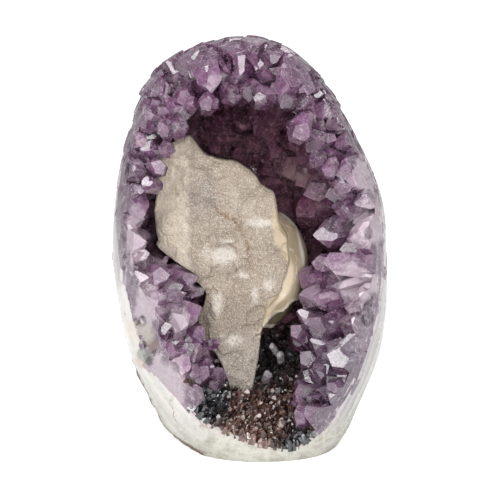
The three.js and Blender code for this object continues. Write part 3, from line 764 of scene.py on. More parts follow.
# Centre, size, raggedness and the two colours of each mineral that shows at the left of the rim.
INCLUSIONS = [
    ((-35.5, -31, 20), (2.6, 4.6, 40), 0.5, (0.10, 0.05, 0.03), (0.30, 0.20, 0.15)),
    ((-40.5, -28, 20), (6.4, 4.6, 40), 0.2, (0.40, 0.34, 0.29), (0.66, 0.62, 0.56)),
    ((-38.5, -36.8, 20), (3.6, 3.2, 40), 0.25, (0.12, 0.13, 0.11), (0.30, 0.31, 0.27)),
    ((-41, -40.5, 20), (3.2, 2.0, 40), 0.3, (0.34, 0.24, 0.20), (0.55, 0.45, 0.40)),
    ((-51, 4, 10), (4.5, 24, 40), 0.3, (0.20, 0.17, 0.19), (0.42, 0.39, 0.41)),
    ((-50.2, -13, 6), (0.7, 8, 40), 0.2, (0.16, 0.10, 0.06), (0.34, 0.24, 0.16)),
    ((-41.5, 1, 20), (1.3, 3.0, 40), 0.3, (0.42, 0.38, 0.42), (0.80, 0.77, 0.80)),
    ((-38, -9.5, 20), (2.8, 5.2, 40), 0.4, (0.40, 0.36, 0.40), (0.74, 0.72, 0.75)),
]
# Centre, size and tone: smokier quartz at the lower right, fuller violet at the crest.
TONE_ZONES = [
    ((28, -42, 20), (13, 22, 40), (0.64, 0.64, 0.68)), ((-3, 62, 8), (36, 17, 40), (0.80, 0.66, 0.78)),
]
RAGGED_PATCH = ragged_group()
SIDE_INCLUSIONS = inclusions_group()
AMETHYST_BODY = amethyst_group()
SUGAR_CRUST = sugar_group()


# ---------------------------------------------------------------- finishes
QUARTZ_IOR, AGATE_IOR, CALCITE_IOR = 1.55, 1.54, 1.6


def amethyst_finish(name, pale, violet, deep, plane_size, milk, gloss):
    """Violet quartz with its own depth of colour."""
    material, bench = start_material(name)
    body = bench.group(AMETHYST_BODY, {
        "Place": bench.place(), "Tint": bench.value_of("tint"), "Facet": bench.value_of("facet"),
        "Along": bench.value_of("along"), "Polish": bench.value_of("polish"), "Plane Size": plane_size,
        "Pale": pale, "Violet": violet, "Deep": deep, "Milk": milk,
    })
    return finish_material(material, bench, {
        "Base Color": body["Color"], "Roughness": bench.blend_value(body["Dullness"], gloss, gloss + 0.25),
        "IOR": QUARTZ_IOR, "Normal": bench.bump(body["Height"], 0.22, 0.0005), "Specular IOR Level": 0.7,
        "Transmission Weight": 0.42, "Coat Weight": 0.5, "Coat Roughness": 0.05,
    })


def dark_quartz_finish():
    """Tiny dark brown and black quartz with pale frosting in places, and painted glints on the palest facets.
    """
    material, bench = start_material("dark_quartz")
    place, facet, tint = bench.place(), bench.value_of("facet"), bench.value_of("tint")
    shade = bench.plus(bench.times(facet, 0.62), bench.times(tint, 0.38))
    # The palest stop at the top of each ramp is a painted glint on a few facets; the rest is the quartz's own
    # tone.
    brown = bench.ramp(shade, [
        (0.15, (0.015, 0.008, 0.007)), (0.45, (0.065, 0.03, 0.022)), (0.64, (0.19, 0.10, 0.077)),
        (0.78, (0.09, 0.05, 0.043)), (0.89, (0.62, 0.54, 0.52)),
    ])
    slate = bench.ramp(shade, [
        (0.15, (0.006, 0.006, 0.007)), (0.5, (0.022, 0.022, 0.026)), (0.8, (0.05, 0.052, 0.058)),
        (0.92, (0.42, 0.43, 0.45)),
    ])
    left = bench.patch(place, (-16, -52, 10), (10, 12, 40))
    right = bench.patch(place, (19, -71, 20), (9, 10, 40))
    above = bench.patch(place, (9, -42, 0), (15, 13, 40))
    slaty = bench.math("MAXIMUM", bench.math("MAXIMUM", left, right), bench.times(above, 0.8))
    colour = bench.mix(slaty, brown, slate)
    frost = bench.patch(place, (4, -75, 24), (11, 4, 40))
    colour = bench.mix(bench.times(frost, bench.times(facet, 0.8)), colour, (0.46, 0.38, 0.41))
    return finish_material(material, bench, {
        "Base Color": colour, "Roughness": bench.blend_value(tint, 0.12, 0.32), "IOR": QUARTZ_IOR,
        "Specular IOR Level": 0.8,
    })


def clear_quartz_finish():
    """Clear grey needles."""
    material, bench = start_material("clear_quartz")
    body = bench.group(AMETHYST_BODY, {
        "Place": bench.place(), "Plane Size": 1.4, "Pale": (0.66, 0.65, 0.66), "Violet": (0.34, 0.33, 0.34),
        "Deep": (0.12, 0.11, 0.12), "Milk": 0.5,
    })
    return finish_material(material, bench, {
        "Base Color": body["Color"], "Roughness": bench.blend_value(body["Dullness"], 0.06, 0.3),
        "IOR": QUARTZ_IOR,
        "Subsurface Weight": 0.3, "Subsurface Radius": (1, 1, 1), "Subsurface Scale": 0.001,
    })


def agate_finish():
    """Polished banded agate: cream at the left and foot, lilac grey and grey green at the right."""
    material, bench = start_material("polished_agate")
    place, wall = bench.place(), bench.value_of("wall_mm")
    x, v, _ = bench.put("SeparateXYZ", {0: place})
    waves = bench.times(bench.minus(bench.noise(place, 0.05, 4, 0.55), 0.5), 7.0)
    depth = bench.plus(wall, waves)
    scaled = bench.math("DIVIDE", depth, 26.0, clamp=True)
    cream = bench.ramp(scaled, [
        (0.0, (0.40, 0.32, 0.37)), (0.05, (0.50, 0.45, 0.47)), (0.1, (0.56, 0.54, 0.52)),
        (0.2, (0.48, 0.47, 0.44)), (0.26, (0.57, 0.55, 0.51)), (0.4, (0.42, 0.41, 0.38)),
        (0.48, (0.53, 0.52, 0.46)), (0.62, (0.40, 0.39, 0.35)), (0.8, (0.48, 0.47, 0.41)),
        (1.0, (0.36, 0.35, 0.31)),
    ])
    grey = bench.ramp(scaled, [
        (0.0, (0.34, 0.28, 0.32)), (0.05, (0.44, 0.40, 0.43)), (0.1, (0.25, 0.22, 0.24)),
        (0.15, (0.33, 0.31, 0.31)), (0.22, (0.20, 0.20, 0.19)), (0.27, (0.40, 0.39, 0.37)),
        (0.36, (0.20, 0.215, 0.195)), (0.45, (0.31, 0.32, 0.28)), (0.6, (0.22, 0.235, 0.205)),
        (0.8, (0.29, 0.29, 0.25)), (1.0, (0.22, 0.22, 0.19)),
    ])
    side = bench.range(bench.plus(x, bench.times(waves, 1.2)), 0.0, 28.0)
    colour = bench.mix(side, cream, grey)
    fine = bench.put("TexWave", {"Vector": bench.put("CombineXYZ", {0: depth})[0],
                                 "Scale": 0.33, "Distortion": 1.2, "Detail": 2.0})["Fac"]
    colour = bench.over(colour, (0.64, 0.63, 0.6), fine, 0.2)
    clouds = bench.blotches(place, 0.12, 0.42, 0.75, 5, 0.6)
    colour = bench.over(colour, (0.33, 0.30, 0.29), clouds, 0.45)
    swirl = bench.noise(place, 0.09, 4, 0.5, output="Color")
    bent = bench.vector("ADD", place, bench.vector("MULTIPLY", swirl, (16, 16, 16)))
    cracks = bench.cell_edges(bent, 0.035)
    thin = bench.times(bench.range(cracks, 0.016, 0.004), bench.blotches(place, 0.08, 0.5, 0.6, 2))
    colour = bench.over(colour, (0.20, 0.13, 0.08), thin, 0.7)
    mottle = bench.noise(place, 0.45, 6, 0.7)
    colour = bench.mix(bench.range(mottle, 0.5, 0.75, 0, 0.35), colour, (0.62, 0.60, 0.56))
    colour = bench.mix(bench.range(mottle, 0.47, 0.3, 0, 0.45), colour, (0.28, 0.25, 0.23))
    foot = bench.times(bench.range(v, -56.0, -68.0), bench.range(x, -30.0, -14.0))
    dingy = bench.ramp(bench.noise(place, 0.16, 7, 0.68), [
        (0.34, (0.24, 0.22, 0.18)), (0.45, (0.35, 0.34, 0.28)), (0.53, (0.47, 0.46, 0.40)),
        (0.62, (0.33, 0.32, 0.27)), (0.72, (0.42, 0.40, 0.33)),
    ])
    colour = bench.over(colour, dingy, foot, 0.8)
    colour = bench.group(SIDE_INCLUSIONS, {"Place": place, "Stone": colour})["Color"]
    pits = bench.blotches(place, 0.42, 0.73, 0.77, 2, 0.4)
    colour = bench.over(colour, (0.14, 0.12, 0.11), pits, 0.8)
    return finish_material(material, bench, {
        "Base Color": colour, "Roughness": bench.blend_value(clouds, 0.16, 0.3), "IOR": AGATE_IOR,
        "Normal": bench.bump(bench.times(pits, -1.0), 0.6, 0.0004),
        "Subsurface Weight": 0.2, "Subsurface Radius": (1, 0.9, 0.85), "Subsurface Scale": 0.002,
        "Coat Weight": 0.35, "Coat Roughness": 0.08,
    })


def rind_finish():
    """The rough rock skin: brown grey with green grey and rusty patches, pitted."""
    material, bench = start_material("basalt_rind")
    place = bench.place()
    lumps = bench.noise(place, 0.11, 6, 0.65)
    colour = bench.ramp(lumps, [
        (0.3, (0.10, 0.08, 0.06)), (0.48, (0.21, 0.17, 0.125)), (0.6, (0.30, 0.255, 0.20)),
        (0.75, (0.42, 0.38, 0.31)),
    ])
    green = bench.blotches(place, 0.045, 0.52, 0.66, 3, 0.5)
    colour = bench.over(colour, (0.15, 0.17, 0.12), green, 0.6)
    rust = bench.blotches(place, 0.07, 0.6, 0.72, 4, 0.6, 0.6)
    colour = bench.over(colour, (0.27, 0.13, 0.06), rust, 0.6)
    holes = bench.cells(place, 0.55)["Distance"]
    pitted = bench.range(holes, 0.28, 0.12)
    colour = bench.over(colour, (0.05, 0.042, 0.036), pitted, 0.6)
    height = bench.minus(bench.noise(place, 0.8, 8, 0.7), bench.times(pitted, 0.5))
    return finish_material(material, bench, {
        "Base Color": colour, "Roughness": 0.86, "Specular IOR Level": 0.3,
        "Normal": bench.bump(height, 0.9, 0.0012),
    })


def sugar_calcite_finish():
    """Cream-beige calcite under a sparkling sugary crust, with a rusty vein and white patches."""
    material, bench = start_material("sugar_calcite")
    place = bench.place()
    sugar = bench.group(SUGAR_CRUST, {"Place": place, "Grain Size": 0.5})
    tone = bench.noise(place, 0.09, 4, 0.55)
    colour = bench.ramp(tone, [
        (0.3, (0.24, 0.185, 0.135)), (0.5, (0.30, 0.235, 0.175)), (0.68, (0.37, 0.30, 0.23)),
    ])
    colour = bench.layers(
        colour,
        # The left facet painted lighter: painted light from the upper left.
        (bench.value_of("lit_left_facet"), 0.85, (0.66, 0.56, 0.45)),
        # Greyer and darker: partly greyer calcite, partly painted shade in the hollow right of the ridge.
        (bench.value_of("grey"), 0.7, (0.21, 0.185, 0.17)),
    )
    lower = bench.range(bench.put("SeparateXYZ", {0: place})[1], -22.0, -46.0, 0, 0.65)
    colour = bench.mix(lower, colour, (0.29, 0.255, 0.23))
    colour = bench.layers(
        colour,
        (bench.value_of("rust"), 0.85, (0.17, 0.08, 0.025)),
        (bench.value_of("white"), 0.72, (0.74, 0.69, 0.63)),
    )
    grains = bench.minus(1.0, bench.value_of("glassy"))
    colour = bench.over(colour, (0.66, 0.59, 0.51), bench.times(sugar["Shade"], grains), 0.2)
    dark = bench.range(sugar["Shade"], 0.3, 0.1)
    colour = bench.over(colour, (0.15, 0.11, 0.08), bench.times(dark, grains), 0.28)
    glint = bench.times(sugar["Flash"], grains)
    colour = bench.over(colour, (0.92, 0.88, 0.82), glint, 0.55)
    honey = bench.mix(bench.noise(place, 0.2, 4), (0.37, 0.29, 0.19), (0.50, 0.41, 0.29))
    colour = bench.over(colour, honey, bench.value_of("glassy"), 0.85)
    rough = bench.blend_value(bench.value_of("glassy"), bench.blend_value(glint, 0.55, 0.2), 0.3)
    normal = bench.bump(bench.times(sugar["Height"], grains), 0.8, 0.0005)
    return finish_material(material, bench, {
        "Base Color": colour, "Roughness": rough, "IOR": CALCITE_IOR, "Normal": normal,
        "Subsurface Weight": 0.3, "Subsurface Radius": (1, 0.8, 0.6), "Subsurface Scale": 0.002,
    })


def honey_calcite_finish():
    """Smooth translucent honey calcite with cleavage cracks and a crumbly edge."""
    material, bench = start_material("honey_calcite")
    place = bench.place()
    cloud = bench.noise(place, 0.07, 4, 0.5, 0.5)
    colour = bench.ramp(cloud, [
        (0.32, (0.40, 0.315, 0.21)), (0.5, (0.49, 0.40, 0.28)), (0.68, (0.56, 0.47, 0.35)),
    ])
    away = bench.vector("LENGTH", bench.vector("SUBTRACT", place, (3.0, -7.0, 0.0)), output="Value")
    round_lines = bench.plus(away, bench.times(bench.noise(place, 0.25, 3), 3.5))
    phase = bench.math("FRACT", bench.math("DIVIDE", round_lines, 4.7))
    thin = bench.range(bench.math("ABSOLUTE", bench.minus(phase, 0.5)), 0.05, 0.01)
    lines = bench.times(thin, bench.blotches(place, 0.16, 0.5, 0.6, 2))
    colour = bench.over(colour, (0.84, 0.78, 0.66), lines, 0.6)
    stain = bench.patch(place, (15, -31, 5), (5, 4, 20))
    colour = bench.layers(
        colour,
        (stain, 0.6, (0.30, 0.20, 0.08)),
        (bench.value_of("olive"), 0.85, (0.085, 0.068, 0.038)),
    )
    crumbs = bench.value_of("crumbs")
    sugar = bench.group(SUGAR_CRUST, {"Place": place, "Grain Size": 0.9})
    cream = bench.mix(sugar["Shade"], (0.48, 0.40, 0.29), (0.90, 0.84, 0.74))
    colour = bench.layers(
        colour,
        (crumbs, 0.85, cream),
        (bench.value_of("edge_line"), 0.85, (0.84, 0.79, 0.68)),
    )
    normal = bench.bump(bench.times(sugar["Height"], crumbs), 0.5, 0.0006)
    return finish_material(material, bench, {
        "Base Color": colour, "Roughness": bench.blend_value(crumbs, 0.24, 0.5), "IOR": CALCITE_IOR,
        "Normal": normal,
        "Subsurface Weight": 0.4, "Subsurface Radius": (1.0, 0.7, 0.4), "Subsurface Scale": 0.003,
    })


AMETHYST = amethyst_finish(
    "amethyst", (0.55, 0.42, 0.51), (0.225, 0.098, 0.20), (0.045, 0.012, 0.037), 3.4, 0.32, 0.05)
# The paler quartz of the bevelled edges: a painted highlight along them.
AMETHYST_EDGE_HIGHLIGHT = amethyst_finish(
    "amethyst_edge_highlight", (0.66, 0.58, 0.63), (0.37, 0.27, 0.34), (0.15, 0.085, 0.135), 1.8, 0.4, 0.12)
AMETHYST_BED = amethyst_finish(
    "amethyst_bed", (0.55, 0.41, 0.49), (0.225, 0.10, 0.195), (0.04, 0.011, 0.03), 4.2, 0.3, 0.05)
DARK_QUARTZ = dark_quartz_finish()
CLEAR_QUARTZ = clear_quartz_finish()
AGATE = agate_finish()
RIND = rind_finish()
SUGAR_CALCITE = sugar_calcite_finish()
HONEY_CALCITE = honey_calcite_finish()


# ---------------------------------------------------------------- the shell
WALL_MM = 45.0  # millimetres of agate that a step of 1 in the cavity's field stands for
SHELL_AGATE, SHELL_RIND, SHELL_LINING = 0, 1, 2
BED_QUARTZ, BED_DRUSE_FLOOR, BED_POLISHED_FOOT = 0, 2, 3


def rind_mask(p):
    """1 on the rough skin behind the polished edge, 0 in front of it."""
    a, b, c = RIND_EDGE
    behind = a + b * p[:, 0] + c * p[:, 1] - p[:, 2]
    behind += 16 * smoothstep(-62, -74, p[:, 1]) * smoothstep(-5, -20, p[:, 0])
    return smoothstep(-0.6, 1.6, behind + 2.2 * layered_noise(p, 9.0, 5, 3))


def build_shell():
    """The agate wall and its rock skin: one stone, polished in front and rough behind."""
    directions, faces = sphere_directions(7)
    points = on_surface(stone_field, directions)
    rough = rind_mask(points)
    normals = outward(stone_field, points)
    relief = 0.9 * layered_noise(points, 17.0, 11, 2) + 0.55 * layered_noise(points, 4.5, 21, 4)
    points = points + normals * (rough * (relief - 0.35) - crest_drop(points))[:, None]
    stone = plain_mesh("stone", points, faces)
    inner, inner_faces = sphere_directions(6)
    hollow = on_surface(cavity_field, inner)
    hollow = hollow - outward(cavity_field, hollow) * (0.25 + 0.25 * layered_noise(hollow, 6.0, 3, 2))[:, None]
    cavity = plain_mesh("hollow", hollow, inner_faces)
    shell = joined_or_cut(stone, cavity, "DIFFERENCE")
    work = bmesh.new()
    work.from_mesh(shell)
    parts = work.verts[:] + work.edges[:] + work.faces[:]
    cut = bmesh.ops.bisect_plane(work, geom=parts, plane_co=(0, 0, 0), plane_no=(0, 0, -1), clear_outer=True)
    rim = [part for part in cut["geom_cut"] if isinstance(part, bmesh.types.BMEdge)]
    bmesh.ops.holes_fill(work, edges=rim, sides=0)
    work.to_mesh(shell)
    work.free()
    places = places_of(shell.vertices, "co")
    attach(shell, "face_mm", places, kind="FLOAT_VECTOR")
    attach(shell, "wall_mm", cavity_field(places) * WALL_MM)
    centres = places_of(shell.polygons, "center")
    kind = np.where(rind_mask(centres) > 0.5, SHELL_RIND, SHELL_AGATE)
    kind[(np.abs(cavity_field(centres)) < 0.03) & (centres[:, 1] > -44)] = SHELL_LINING
    shell.materials.clear()
    shell.polygons.foreach_set("material_index", kind.astype(np.int32))
    shell.shade_smooth()
    shell.set_sharp_from_angle(angle=math.radians(38))
    shell.update()
    place_piece("stone_shell", shell, ["agate_shell", "basalt_rind"],
                       [AGATE, RIND, AMETHYST_BED])


def add_lining(group, rng):
    """Adds the solid quartz between the crystals' roots, thick where the rim is polished through it."""
    rays, faces = sphere_directions(6)
    wall = on_surface(cavity_field, rays)
    rim = smoothstep(-0.3, -0.02, stone_field(wall)) * (1 - 0.9 * smoothstep(-4, 24, wall[:, 1]))
    low_left = smoothstep(0, -30, wall[:, 1]) * smoothstep(5, -15, wall[:, 0])
    thick = np.where(wall[:, 0] < 0, 2.2, 1.2) + 3.6 * low_left
    depth = 1.0 + rim * thick * (1 + 0.7 * layered_noise(wall, 10.0, 81, 3))
    depth = depth + 0.35 * layered_noise(wall, 2.6, 85, 2)
    depth = np.where(in_druse(wall, 0.5), 0.35, np.maximum(depth, 0.5))
    inward = wall - outward(cavity_field, wall) * depth[:, None]
    stone = on_surface(stone_field, rays)
    stone = stone - outward(stone_field, stone) * (crest_drop(stone) * 1.05)[:, None]
    outside, inside, skin = [plain_mesh("lining", points, faces) for points in (wall, inward, stone)]
    lining = joined_or_cut(joined_or_cut(outside, inside, "DIFFERENCE"), skin, "INTERSECT")
    work = bmesh.new()
    work.from_mesh(lining)
    bmesh.ops.bisect_plane(work, geom=work.verts[:] + work.edges[:] + work.faces[:], plane_co=(0, 0, 0.0005),
                           plane_no=(0, 0, -1), clear_outer=True)
    bmesh.ops.holes_fill(work, edges=[edge for edge in work.edges if edge.is_boundary], sides=0)
    points = to_face(np.array([corner.co for corner in work.verts]))
    faces = [[corner.index for corner in face.verts] for face in work.faces]
    centres = np.stack([points[face].mean(0) for face in faces])
    kinds = np.where(stone_field(centres) > -0.006, CUT_FACE, SIDE_FACE).tolist()
    work.free()
    group.add(points, faces, kinds, np.full(len(points), 0.3), 0.4, rng)
    group.facet = [0.5] * len(group.facet)


# ---------------------------------------------------------------- the amethyst
def behind_blade(p):
    return (p[:, 2] < 4) & (outline_distance(BLADE_OUTLINE, p) < -6)


def growth_of(spots, rng, forward):
    """The way that the crystals at cavity wall places grow."""
    grow = -outward(cavity_field, spots)
    grow[:, 2] += forward
    return unit(grow + rng.normal(size=grow.shape) * 0.16)


def in_druse(p, margin):
    return (p[:, 2] > -32) & (outline_distance(DRUSE_OUTLINE, p) < margin)


def edge_highlights(piece, width):
    """Bevels a crystal piece's edges and gives the bevels the paler quartz finish: a painted highlight along
    the edges.
    """
    edge = piece.modifiers.new("edge_highlight_bevel", "BEVEL")
    edge.width, edge.segments, edge.limit_method, edge.angle_limit = width * MM, 1, "ANGLE", math.radians(24)
    edge.material = 1


RIM_BAND_MM = 3.0  # which band of the agate the polished foot of the lining shows
# Widths in millimetres of the bevels that carry the painted edge highlight.
CARPET_EDGE_HIGHLIGHT, POINT_EDGE_HIGHLIGHT = 0.09, 0.12
CREST_FROM_V, CREST_FROM_W, CREST_SPACING = 26, -14, 6.0
# Tries, spacing, half widths, lengths as a share of them and added length of the two layers of points.
CARPET_LAYERS = [
    (9000, 6.6, (3.4, 5.6), (1.5, 2.2), 3.0),
    (9000, 3.9, (1.4, 2.8), (1.7, 2.6), 2.4),
]


def add_crest(group, rng):
    """Adds the crystals that stand out of the stone at its crest, where no shell covers them."""
    rays = unit(rng.normal(size=(4000, 3)) * [1, TALL, 1])
    spots = on_surface(stone_field, rays)
    at_crest = (spots[:, 1] > CREST_FROM_V) & (spots[:, 2] > CREST_FROM_W)
    spots = spots[at_crest & (np.abs(cavity_field(spots)) < 0.2)]
    taken = np.zeros((0, 3))
    for spot, normal in zip(spots, outward(stone_field, spots)):
        if len(taken) and np.min(np.linalg.norm(taken - spot, axis=1)) < CREST_SPACING:
            continue
        taken = np.vstack([taken, spot])
        axis = unit(normal * 0.75 + np.array([0, 0, 0.75]) + rng.normal(size=3) * 0.25)
        half = rng.uniform(3.0, 4.8)
        root = spot - normal * rng.uniform(7.5, 9.5)
        out = float(smoothstep(44, 58, spot[1]))
        length = (spot - root) @ axis + rng.uniform(-2.6, -0.2 + 2.8 * out)
        group.grow(root, axis, length, half, rng)


def build_bed():
    """The carpet of quartz points that lines the cavity."""
    rng = np.random.default_rng(4)
    group = CrystalGroup()
    add_lining(group, rng)
    lining_faces = len(group.faces)
    for x, v, w, half in NEAR_POINTS:
        root, axis, length = root_behind(np.array([x, v, w], float))
        group.grow_polished(root, axis, length, half, rng)
    for tries, spacing, (low, high), (short, long), lift in CARPET_LAYERS:
        spots = wall_spots(tries, spacing, rng, lambda p: ~behind_blade(p) & ~in_druse(p, 1.5))
        for spot, axis in zip(spots, growth_of(spots, rng, 0.3)):
            half = rng.uniform(low, high)
            length = half * rng.uniform(short, long) + lift
            root = spot - axis * 1.2
            group.grow_polished(root, axis, length, half, rng)
    add_crest(group, rng)
    carpet = group.mesh("amethyst_carpet")
    centres = places_of(carpet.polygons, "center")
    lining = np.arange(len(carpet.polygons)) < lining_faces
    dark = lining & in_druse(centres, 1.2) & (stone_field(centres) < -0.02)
    finish = np.where(dark, BED_DRUSE_FLOOR, BED_QUARTZ)
    middle = (centres[:, 0] > -14) & (centres[:, 0] < 22) & (centres[:, 1] < -46)
    finish[lining & middle & (stone_field(centres) > -0.012)] = BED_POLISHED_FOOT
    carpet.polygons.foreach_set("material_index", finish.astype(np.int32))
    attach(carpet, "wall_mm", np.full(len(carpet.vertices), RIM_BAND_MM))
    bed = place_piece("amethyst_carpet", carpet, BED_NODES,
                      [AMETHYST_BED, AMETHYST_EDGE_HIGHLIGHT, DARK_QUARTZ, AGATE])
    edge_highlights(bed, CARPET_EDGE_HIGHLIGHT)


def build_points():
    """The large points, one piece each, grown where the CAD has them."""
    rng = np.random.default_rng(12)
    for number, (x, v, w, half) in enumerate(POINTS, 1):
        node = f"amethyst_point_{number:02d}"
        tip = np.array([x, v, w], float)
        root, axis, length = root_behind(tip)
        group = CrystalGroup()
        group.grow(root, axis, length, half * 0.92, rng, polished_planes(root, tip, half, rng))
        for _ in range(2):
            turned = unit(axis + rng.normal(size=3) * 0.3)
            foot = root + unit(rng.normal(size=3)) * half * 0.7
            reached = length * rng.uniform(0.6, 0.95)
            cuts = polished_planes(foot, foot + turned * reached, half, rng)
            group.grow(foot, turned, reached, half * rng.uniform(0.4, 0.6), rng, cuts)
        mesh = group.mesh("grown_" + node)
        piece = place_piece("grown_" + node, mesh, [node], [AMETHYST, AMETHYST_EDGE_HIGHLIGHT])
        edge_highlights(piece, POINT_EDGE_HIGHLIGHT)


# ---------------------------------------------------------------- the dark druse
DRUSE_TRIES, DRUSE_SPACING, DRUSE_HALF_WIDTHS = 90000, 1.0, (0.42, 0.8)
COARSE_GRAINS = [1, 1, 1, 1, 1, 1.9]  # one grain in six is nearly twice as wide


def build_druse():
    """The dark patch of tiny quartz at the cavity's foot."""
    rng = np.random.default_rng(8)
    group = CrystalGroup()
    spots = wall_spots(DRUSE_TRIES, DRUSE_SPACING, rng, lambda p: in_druse(p, 2.2))
    for spot, axis in zip(spots, growth_of(spots, rng, 0.35)):
        half = rng.uniform(*DRUSE_HALF_WIDTHS) * rng.choice(COARSE_GRAINS)
        axis = unit(axis + rng.normal(size=3) * 0.22)
        length = half * rng.uniform(1.2, 2.2) + 3.0
        root = spot - axis * 0.8
        group.grow_polished(root, axis, length, half, rng)
    patch = group.mesh("dark_druse_patch")
    place_piece("dark_druse_patch", patch, ["dark_druse"], [DARK_QUARTZ])


def build_needles():
    """The small clear points on the druse keep their CAD shape."""
    for node in sorted(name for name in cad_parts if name.startswith("quartz_needle")):
        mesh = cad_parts[node].data
        points = to_face(np.array([corner.co for corner in mesh.vertices]))
        needle = mesh.copy()
        needle.materials.clear()
        attach(needle, "face_mm", points, kind="FLOAT_VECTOR")
        place_piece("grown_" + node, needle, [node], [CLEAR_QUARTZ])


# ---------------------------------------------------------------- the calcite
BLADE_THICKNESS, BLADE_AT_V, BLADE_W, BLADE_PITCH = 7.5, -2.0, 8.5, math.radians(8)
BLADE_FACETS = [
    ((-23, 20), (-0.36, 0.06)), ((0, -18), (0.04, -0.11)), ((2, 22), (0.22, 0.2)),
    ((-12, -24), (-0.3, -0.12)),
]
RUST_VEIN = [
    (-13, 16.5), (-11, 15), (-8, 12.8), (-6.3, 12), (-4.2, 9.5), (-2.6, 6), (-1.1, 2.7), (-0.8, -3),
    (0.4, -7),
]
RUST_SPOTS = [((-6.4, 12.0), 1.3), ((-3.2, 6.6), 0.8), ((-9.5, 14.0), 0.7)]
# Where the sugary crust is missing at the blade's right edge.
BARE_CALCITE = [
    (7.6, 15), (8.4, 7), (9.4, 3), (14.4, -5.5), (13, -13), (7, -18), (5, -25), (2.6, -33), (20, -33),
    (20, 15),
]
WHITE_PATCHES = [
    ((4.2, 11), (4.2, 1.7)), ((-10, -1), (5.2, 3.6)), ((7.4, -12.5), (2.0, 4.0)),
    ((-12.4, -21.4), (1.8, 5.4)), ((1.5, -16.5), (1.2, 3)), ((-8, 4), (3, 1.2)), ((-6, -34), (3, 2)),
    ((-3, -9), (2, 1.2)), ((-26, -1), (3, 1.5)),
]


BLADE_RINGS, BLADE_SPOKES, BLADE_MIDDLE, BLADE_BEND = 150, 620, (-7.0, -14.0), 6.5
# Seed, size of the plates, height and level of each step that cleavage left on the front.
CLEAVAGE_STEPS = [(42, 17.0, 0.8, 0.1), (43, 12.0, 0.6, -0.15), (44, 8.0, 0.45, 0.2)]


def blade_bend(v):
    """How far the blade's lower end bends forward."""
    return BLADE_BEND * smoothstep(-26, -58, v)


def blade_lift(p):
    """The flat-laid blade, tipped forward and lifted into its place in the cavity."""
    s, c = math.sin(BLADE_PITCH), math.cos(BLADE_PITCH)
    v, w = p[:, 1] - BLADE_AT_V, p[:, 2] + blade_bend(p[:, 1])
    return np.stack([p[:, 0], v * c - w * s + BLADE_AT_V, v * s + w * c + BLADE_W], -1)


def blade_unlift(p):
    """The way back from the blade's place to the blade laid flat."""
    s, c = math.sin(BLADE_PITCH), math.cos(BLADE_PITCH)
    v, w = p[:, 1] - BLADE_AT_V, p[:, 2] - BLADE_W
    flat_v = v * c + w * s + BLADE_AT_V
    return np.stack([p[:, 0], flat_v, -v * s + w * c - blade_bend(flat_v)], -1)


def blade_front(x, v):
    """How far the blade's broken front lies behind its foremost plane, the blade laid flat."""
    front = np.zeros(np.shape(x))
    for (at_x, at_v), (slope_x, slope_v) in BLADE_FACETS:
        front = np.minimum(front, -slope_x * (x - at_x) - slope_v * (v - at_v))
    return front


